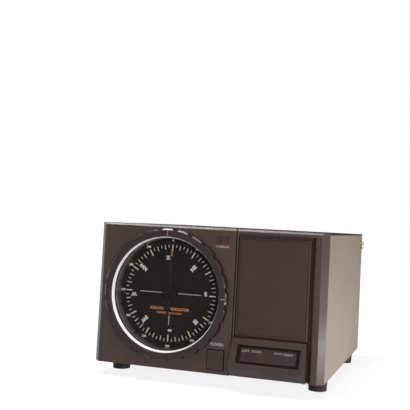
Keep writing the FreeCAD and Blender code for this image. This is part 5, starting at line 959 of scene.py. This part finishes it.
@dataclass
class ControlsAssembly:
    """The power button with its spring, the words on the front and those on the direction key.

    Outs are distances in front of the bezel's face.
    """

    palette: Palette
    button_left: float = 3.6
    button_bottom: float = 14.6
    button_width: float = 14.1
    button_height: float = 15.8
    button_corner: float = 1.1
    button_out: float = 1.0
    button_depth: float = 9.0
    button_wall: float = 1.5
    button_travel: float = 3.0
    dish_edge: float = 1.4
    dish_floor: float = 2.4
    dish_depth: float = 0.12
    button_roundings: tuple[float, ...] = (0.0, 0.2, 0.2, 0.55, 0.3, 0.0)
    spring_radius: float = 4.3
    spring_wire: float = 0.6
    spring_turns: int = 5
    spring_front: float = -1.1
    spring_rear: float = -12.0
    spring_seat: float = -12.6
    steps_per_turn: int = 48
    wire_points: int = 10
    lamp_words: Words = Words("OVERLAP", (11.9, 114.65), 1.5, 11.6, weight=0.01)
    power_words: Words = Words("POWER", (11.5, 35.0), 2.5, 11.6, weight=0.01)
    key_centre: Point = (56.0, -108.68, 30.35)
    key_lean: float = 21.54
    key_sink: float = 1.0
    key_rows: tuple[Words, ...] = (
        Words("LEFT", (-18.8, 3.2), 1.7, 6.2), Words("(CCW)", (-9.8, 3.2), 2.1, 7.6),
        Words("(CW)", (8.2, 3.2), 2.1, 6.2), Words("RIGHT", (16.6, 3.2), 1.7, 7.8))

    @property
    def button_face(self) -> Face:
        """The bezel's face at the button's middle."""
        return Face((self.button_left + self.button_width / 2, FRONT_Y,
                     self.button_bottom + self.button_height / 2))

    def build(self) -> None:
        """Builds the button with its spring and prints every label."""
        self.button()
        self.spring()
        self.labels()
        self.key_words()

    def button(self) -> None:
        """Carries the profile of the button's shell and dished face round its rounded rectangle."""
        front, rear, wall = self.button_out, self.button_out - self.button_depth, self.button_wall
        outline = [(wall, front - wall), (wall, rear), (0.0, rear), (0.0, front),
                   (self.dish_edge, front), (self.dish_floor, front - self.dish_depth)]
        profile = softened(outline, self.button_roundings, steps=5, closed=False)
        rows = slab(self.button_width, self.button_height, self.button_corner, profile, self.button_face)
        button = Shape.grid(rows).made("button_cap", self.palette["button_moulding"], Body.BUTTON)
        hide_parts("power_button")

    def spring(self) -> None:
        """Winds the return spring.

        The wire's middle runs along a helix, (r cos t, r sin t, front to rear evenly with t), and the
        section round it is (wire / 2) (radial cos a + across sin a), where across = along x radial.
        """
        steps = self.steps_per_turn * self.spring_turns + 1
        turn = np.linspace(0.0, 2 * np.pi * self.spring_turns, steps)
        out = np.linspace(self.spring_front, self.spring_rear, steps)
        still = np.zeros_like(turn)
        radial = np.stack([np.cos(turn), np.sin(turn), still], axis=1)
        middle = radial * self.spring_radius + np.stack([still, still, out], axis=1)
        along = np.gradient(middle, axis=0)
        along = along / np.linalg.norm(along, axis=1, keepdims=True)
        across = np.cross(along, radial)
        angle = np.linspace(0.0, 2 * np.pi, self.wire_points, endpoint=False)[None, :, None]
        ring = radial[:, None] * np.cos(angle) + across[:, None] * np.sin(angle)
        rows = middle[:, None] + ring * self.spring_wire / 2
        ends = [np.broadcast_to(middle[i], (1, self.wire_points, 3)) for i in (0, -1)]
        shape = Shape.grid(self.button_face.place(np.concatenate([ends[0], rows, ends[1]])))
        coil = shape.made("spring_coil", self.palette["spring_steel"], Body.CABINET)
        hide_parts("power_spring")
        seat = self.button_face.place(np.array([0.0, 0.0, self.spring_seat])) * MM
        length = self.spring_front + self.spring_wire / 2 - self.spring_seat
        1.0 - self.button_travel / length
        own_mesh(coil)

    def labels(self) -> None:
        """Prints OVERLAP under the lamp and POWER above the button."""
        for name, row in (("lamp_label", self.lamp_words), ("power_label", self.power_words)):
            row.shape(FRONT_FACE, INK_LOW, INK_HIGH).made(name, self.palette["pale_print"], Body.CABINET)

    def key_words(self) -> None:
        """Prints the two directions on the rocking key's face, which leans and lies sunk."""
        lean = math.radians(self.key_lean)
        face = Face(self.key_centre, up=(0.0, math.sin(lean), math.cos(lean)))
        low, high = -self.key_sink + INK_LOW, -self.key_sink + INK_HIGH
        shape = Shape.joined([row.shape(face, low, high) for row in self.key_rows])
        shape.made("key_words", self.palette["dim_print"], Body.ROCKER)


# Studio. Places, reaches, fades and lamp sizes are in metres, and angles in radians. The floor's
# clouds, the lens and the sensor are in millimetres, and the shift is in sensor widths.
WHITE = (1.0, 1.0, 1.0, 1.0)


def stand(name: str, data: Any, directions: Sequence[np.ndarray], at: Point) -> bpy.types.Object:
    """Puts a lamp or camera at a place, with the given directions to its right, top and back."""
    holder = bpy.data.objects.new(name, data)
    bpy.context.scene.collection.objects.link(holder)
    columns = np.stack(directions, axis=1)
    holder.matrix_world = Matrix([[*columns[i], at[i]] for i in range(3)] + [[0.0, 0.0, 0.0, 1.0]])
    return holder


@dataclass(frozen=True)
class Lamp:
    """A soft lamp: its place, what it aims at, its width, power, and height where not as wide."""

    name: str
    at: Point
    aim: Point
    size: float
    power: float
    height: float | None = None

    def build(self) -> None:
        """Puts the lamp in the scene, its beam along the line from its place to its aim."""
        light = bpy.data.lights.new(self.name, "AREA")
        light.shape, light.size, light.size_y = "RECTANGLE", self.size, self.height or self.size
        light.energy = self.power
        back = np.array(self.at) - np.array(self.aim)
        back = back / np.linalg.norm(back)
        side = np.cross((0.0, 0.0, 1.0), back)
        side = side / np.linalg.norm(side)
        stand(self.name, light, (side, np.cross(back, side), back), self.at)


# The strips above are what the ring's and the bezel's upper edges reflect.
LAMPS = (
    Lamp("right_softbox", (0.75, -0.56, 0.1), (0.0, -0.05, 0.07), size=0.8, power=2.8, height=0.3),
    Lamp("low_right_strip", (0.27, -0.02, 0.012), (0.1, 0.0, 0.012), size=0.4, power=0.6, height=0.02),
    Lamp("front_softbox", (0.7, -1.5, 0.2), (0.0, 0.0, 0.03), size=0.8, power=11.0),
    Lamp("edge_strip", (-0.43, -0.12, 1.35), (-0.43, -0.02, 0.1), size=0.8, power=9.0, height=0.08),
    Lamp("top_strip", (-0.2, -0.34, 1.35), (-0.116, -0.06, 0.1), size=1.4, power=12.0, height=0.2))


@dataclass
class Studio:
    """The pale floor, the plain light round the object and the camera.

    From fade_start to fade_end away from the object, the floor goes from floor_share of glow to
    glow alone, so that it shows no horizon.
    """

    ambient: float = 0.32
    air_tone: Colour = (1.0, 0.99, 0.97)
    floor_reach: float = 3.0
    floor_lines: int = 13
    floor_share: float = 0.75
    floor_tones: tuple[Colour, Colour] = ((0.9, 0.9, 0.9), (0.93, 0.93, 0.93))
    cloud_size: float = 300.0
    cloud_detail: float = 2.0
    dull_tone: Colour = (0.16, 0.16, 0.16)
    glow: float = 1.08
    fade_start: float = 0.3
    fade_end: float = 0.75
    camera_at: Point = (0.19865, -0.66982, 0.13415)
    yaw: float = 0.2903
    pitch: float = 0.0542
    roll: float = 0.0513
    lens: float = 63.5
    sensor: float = 36.0
    shift: Pair = (-0.1, -0.0488)

    def build(self) -> None:
        """Sets up everything round the object."""
        self.floor()
        self.world()
        self.camera()
        for lamp in LAMPS:
            lamp.build()
        bpy.context.scene.view_settings.view_transform = "Standard"
        LOG.info("set up the studio")

    @staticmethod
    def seen(tree: Tree) -> Socket:
        """1 for rays that the camera, a glossy surface or a clear one looks along, else 0."""
        path = tree.add("ShaderNodeLightPath").outputs
        first = tree.add("ShaderNodeMath", {0: path["Is Camera Ray"], 1: path["Is Glossy Ray"]},
                         operation="MAXIMUM")
        return tree.add("ShaderNodeMath", {0: first.outputs[0], 1: path["Is Transmission Ray"]},
                        operation="MAXIMUM").outputs[0]

    def floor_paint(self) -> bpy.types.Material:
        """White and glowing where it is seen, and dull where it only lights the object."""
        tree = Tree(bpy.data.materials.new("floor_paint"))
        clouds = tree.spread(tree.noise(self.cloud_size, self.cloud_detail), 0.0, 1.0)
        paint = tree.add("ShaderNodeBsdfDiffuse", {"Color": tree.mixed(clouds, *self.floor_tones)})
        dull = tree.add("ShaderNodeBsdfDiffuse", {"Color": (*self.dull_tone, 1.0)})
        glow = tree.add("ShaderNodeEmission", {"Color": WHITE, "Strength": self.glow})
        away = tree.add("ShaderNodeVectorMath", {0: tree.place}, operation="LENGTH").outputs["Value"]
        share = tree.spread(away, self.floor_share, 1.0, self.fade_start, self.fade_end)
        shown = tree.add("ShaderNodeMixShader", {0: share, 1: paint.outputs[0], 2: glow.outputs[0]})
        both = tree.add("ShaderNodeMixShader", {0: self.seen(tree), 1: dull.outputs[0],
                                                2: shown.outputs[0]})
        return tree.done(both.outputs[0])

    def floor(self) -> None:
        """Lays a flat floor that the camera sees as white and that keeps the object's shadow."""
        material = self.floor_paint()
        reach = np.linspace(-self.floor_reach, self.floor_reach, self.floor_lines)
        x, y = np.meshgrid(reach, reach)
        shape = Shape.grid(np.stack([x, y, np.zeros_like(x)], axis=-1), ring_columns=False)
        mesh = bpy.data.meshes.new("floor")
        mesh.from_pydata(shape.points.tolist(), [], shape.faces)
        mesh.materials.append(material)
        floor = bpy.data.objects.new("floor", mesh)
        bpy.context.scene.collection.objects.link(floor)

    def world(self) -> None:
        """Lights the object evenly, and shows white to the camera and to reflections."""
        tree = Tree(bpy.data.worlds.new("studio_air"))
        soft = tree.add("ShaderNodeBackground", {"Color": (*self.air_tone, 1.0), "Strength": self.ambient})
        white = tree.add("ShaderNodeBackground", {"Color": WHITE, "Strength": 1.0})
        both = tree.add("ShaderNodeMixShader", {0: self.seen(tree), 1: soft.outputs[0],
                                                2: white.outputs[0]})
        bpy.context.scene.world = tree.done(both.outputs[0], "ShaderNodeOutputWorld")

    def camera(self) -> None:
        """Stands the camera at the photograph's place.

        Forward is (-sin yaw cos pitch, cos yaw cos pitch, sin pitch), right is level, up is
        right x forward, and both are then turned by the roll.
        """
        cos, sin = math.cos, math.sin
        ahead = cos(self.pitch)
        forward = np.array([-sin(self.yaw) * ahead, cos(self.yaw) * ahead, sin(self.pitch)])
        level = np.array([cos(self.yaw), sin(self.yaw), 0.0])
        above = np.cross(level, forward)
        right = cos(self.roll) * level + sin(self.roll) * above
        up = -sin(self.roll) * level + cos(self.roll) * above
        data = bpy.data.cameras.new("camera")
        data.lens, data.sensor_width = self.lens, self.sensor
        data.shift_x, data.shift_y = self.shift
        bpy.context.scene.camera = stand("camera", data, (right, up, -forward), self.camera_at)


def main() -> None:
    """Builds every sub-assembly in order."""
    logging.basicConfig(level=logging.INFO, format="%(name)s: %(message)s")
    palette = Palette()
    palette.dress_nodes()
    RingAssembly(palette).build()
    MeterAssembly(palette).build()
    ControlsAssembly(palette).build()
    Studio().build()


if __name__ == "__main__":
    main()
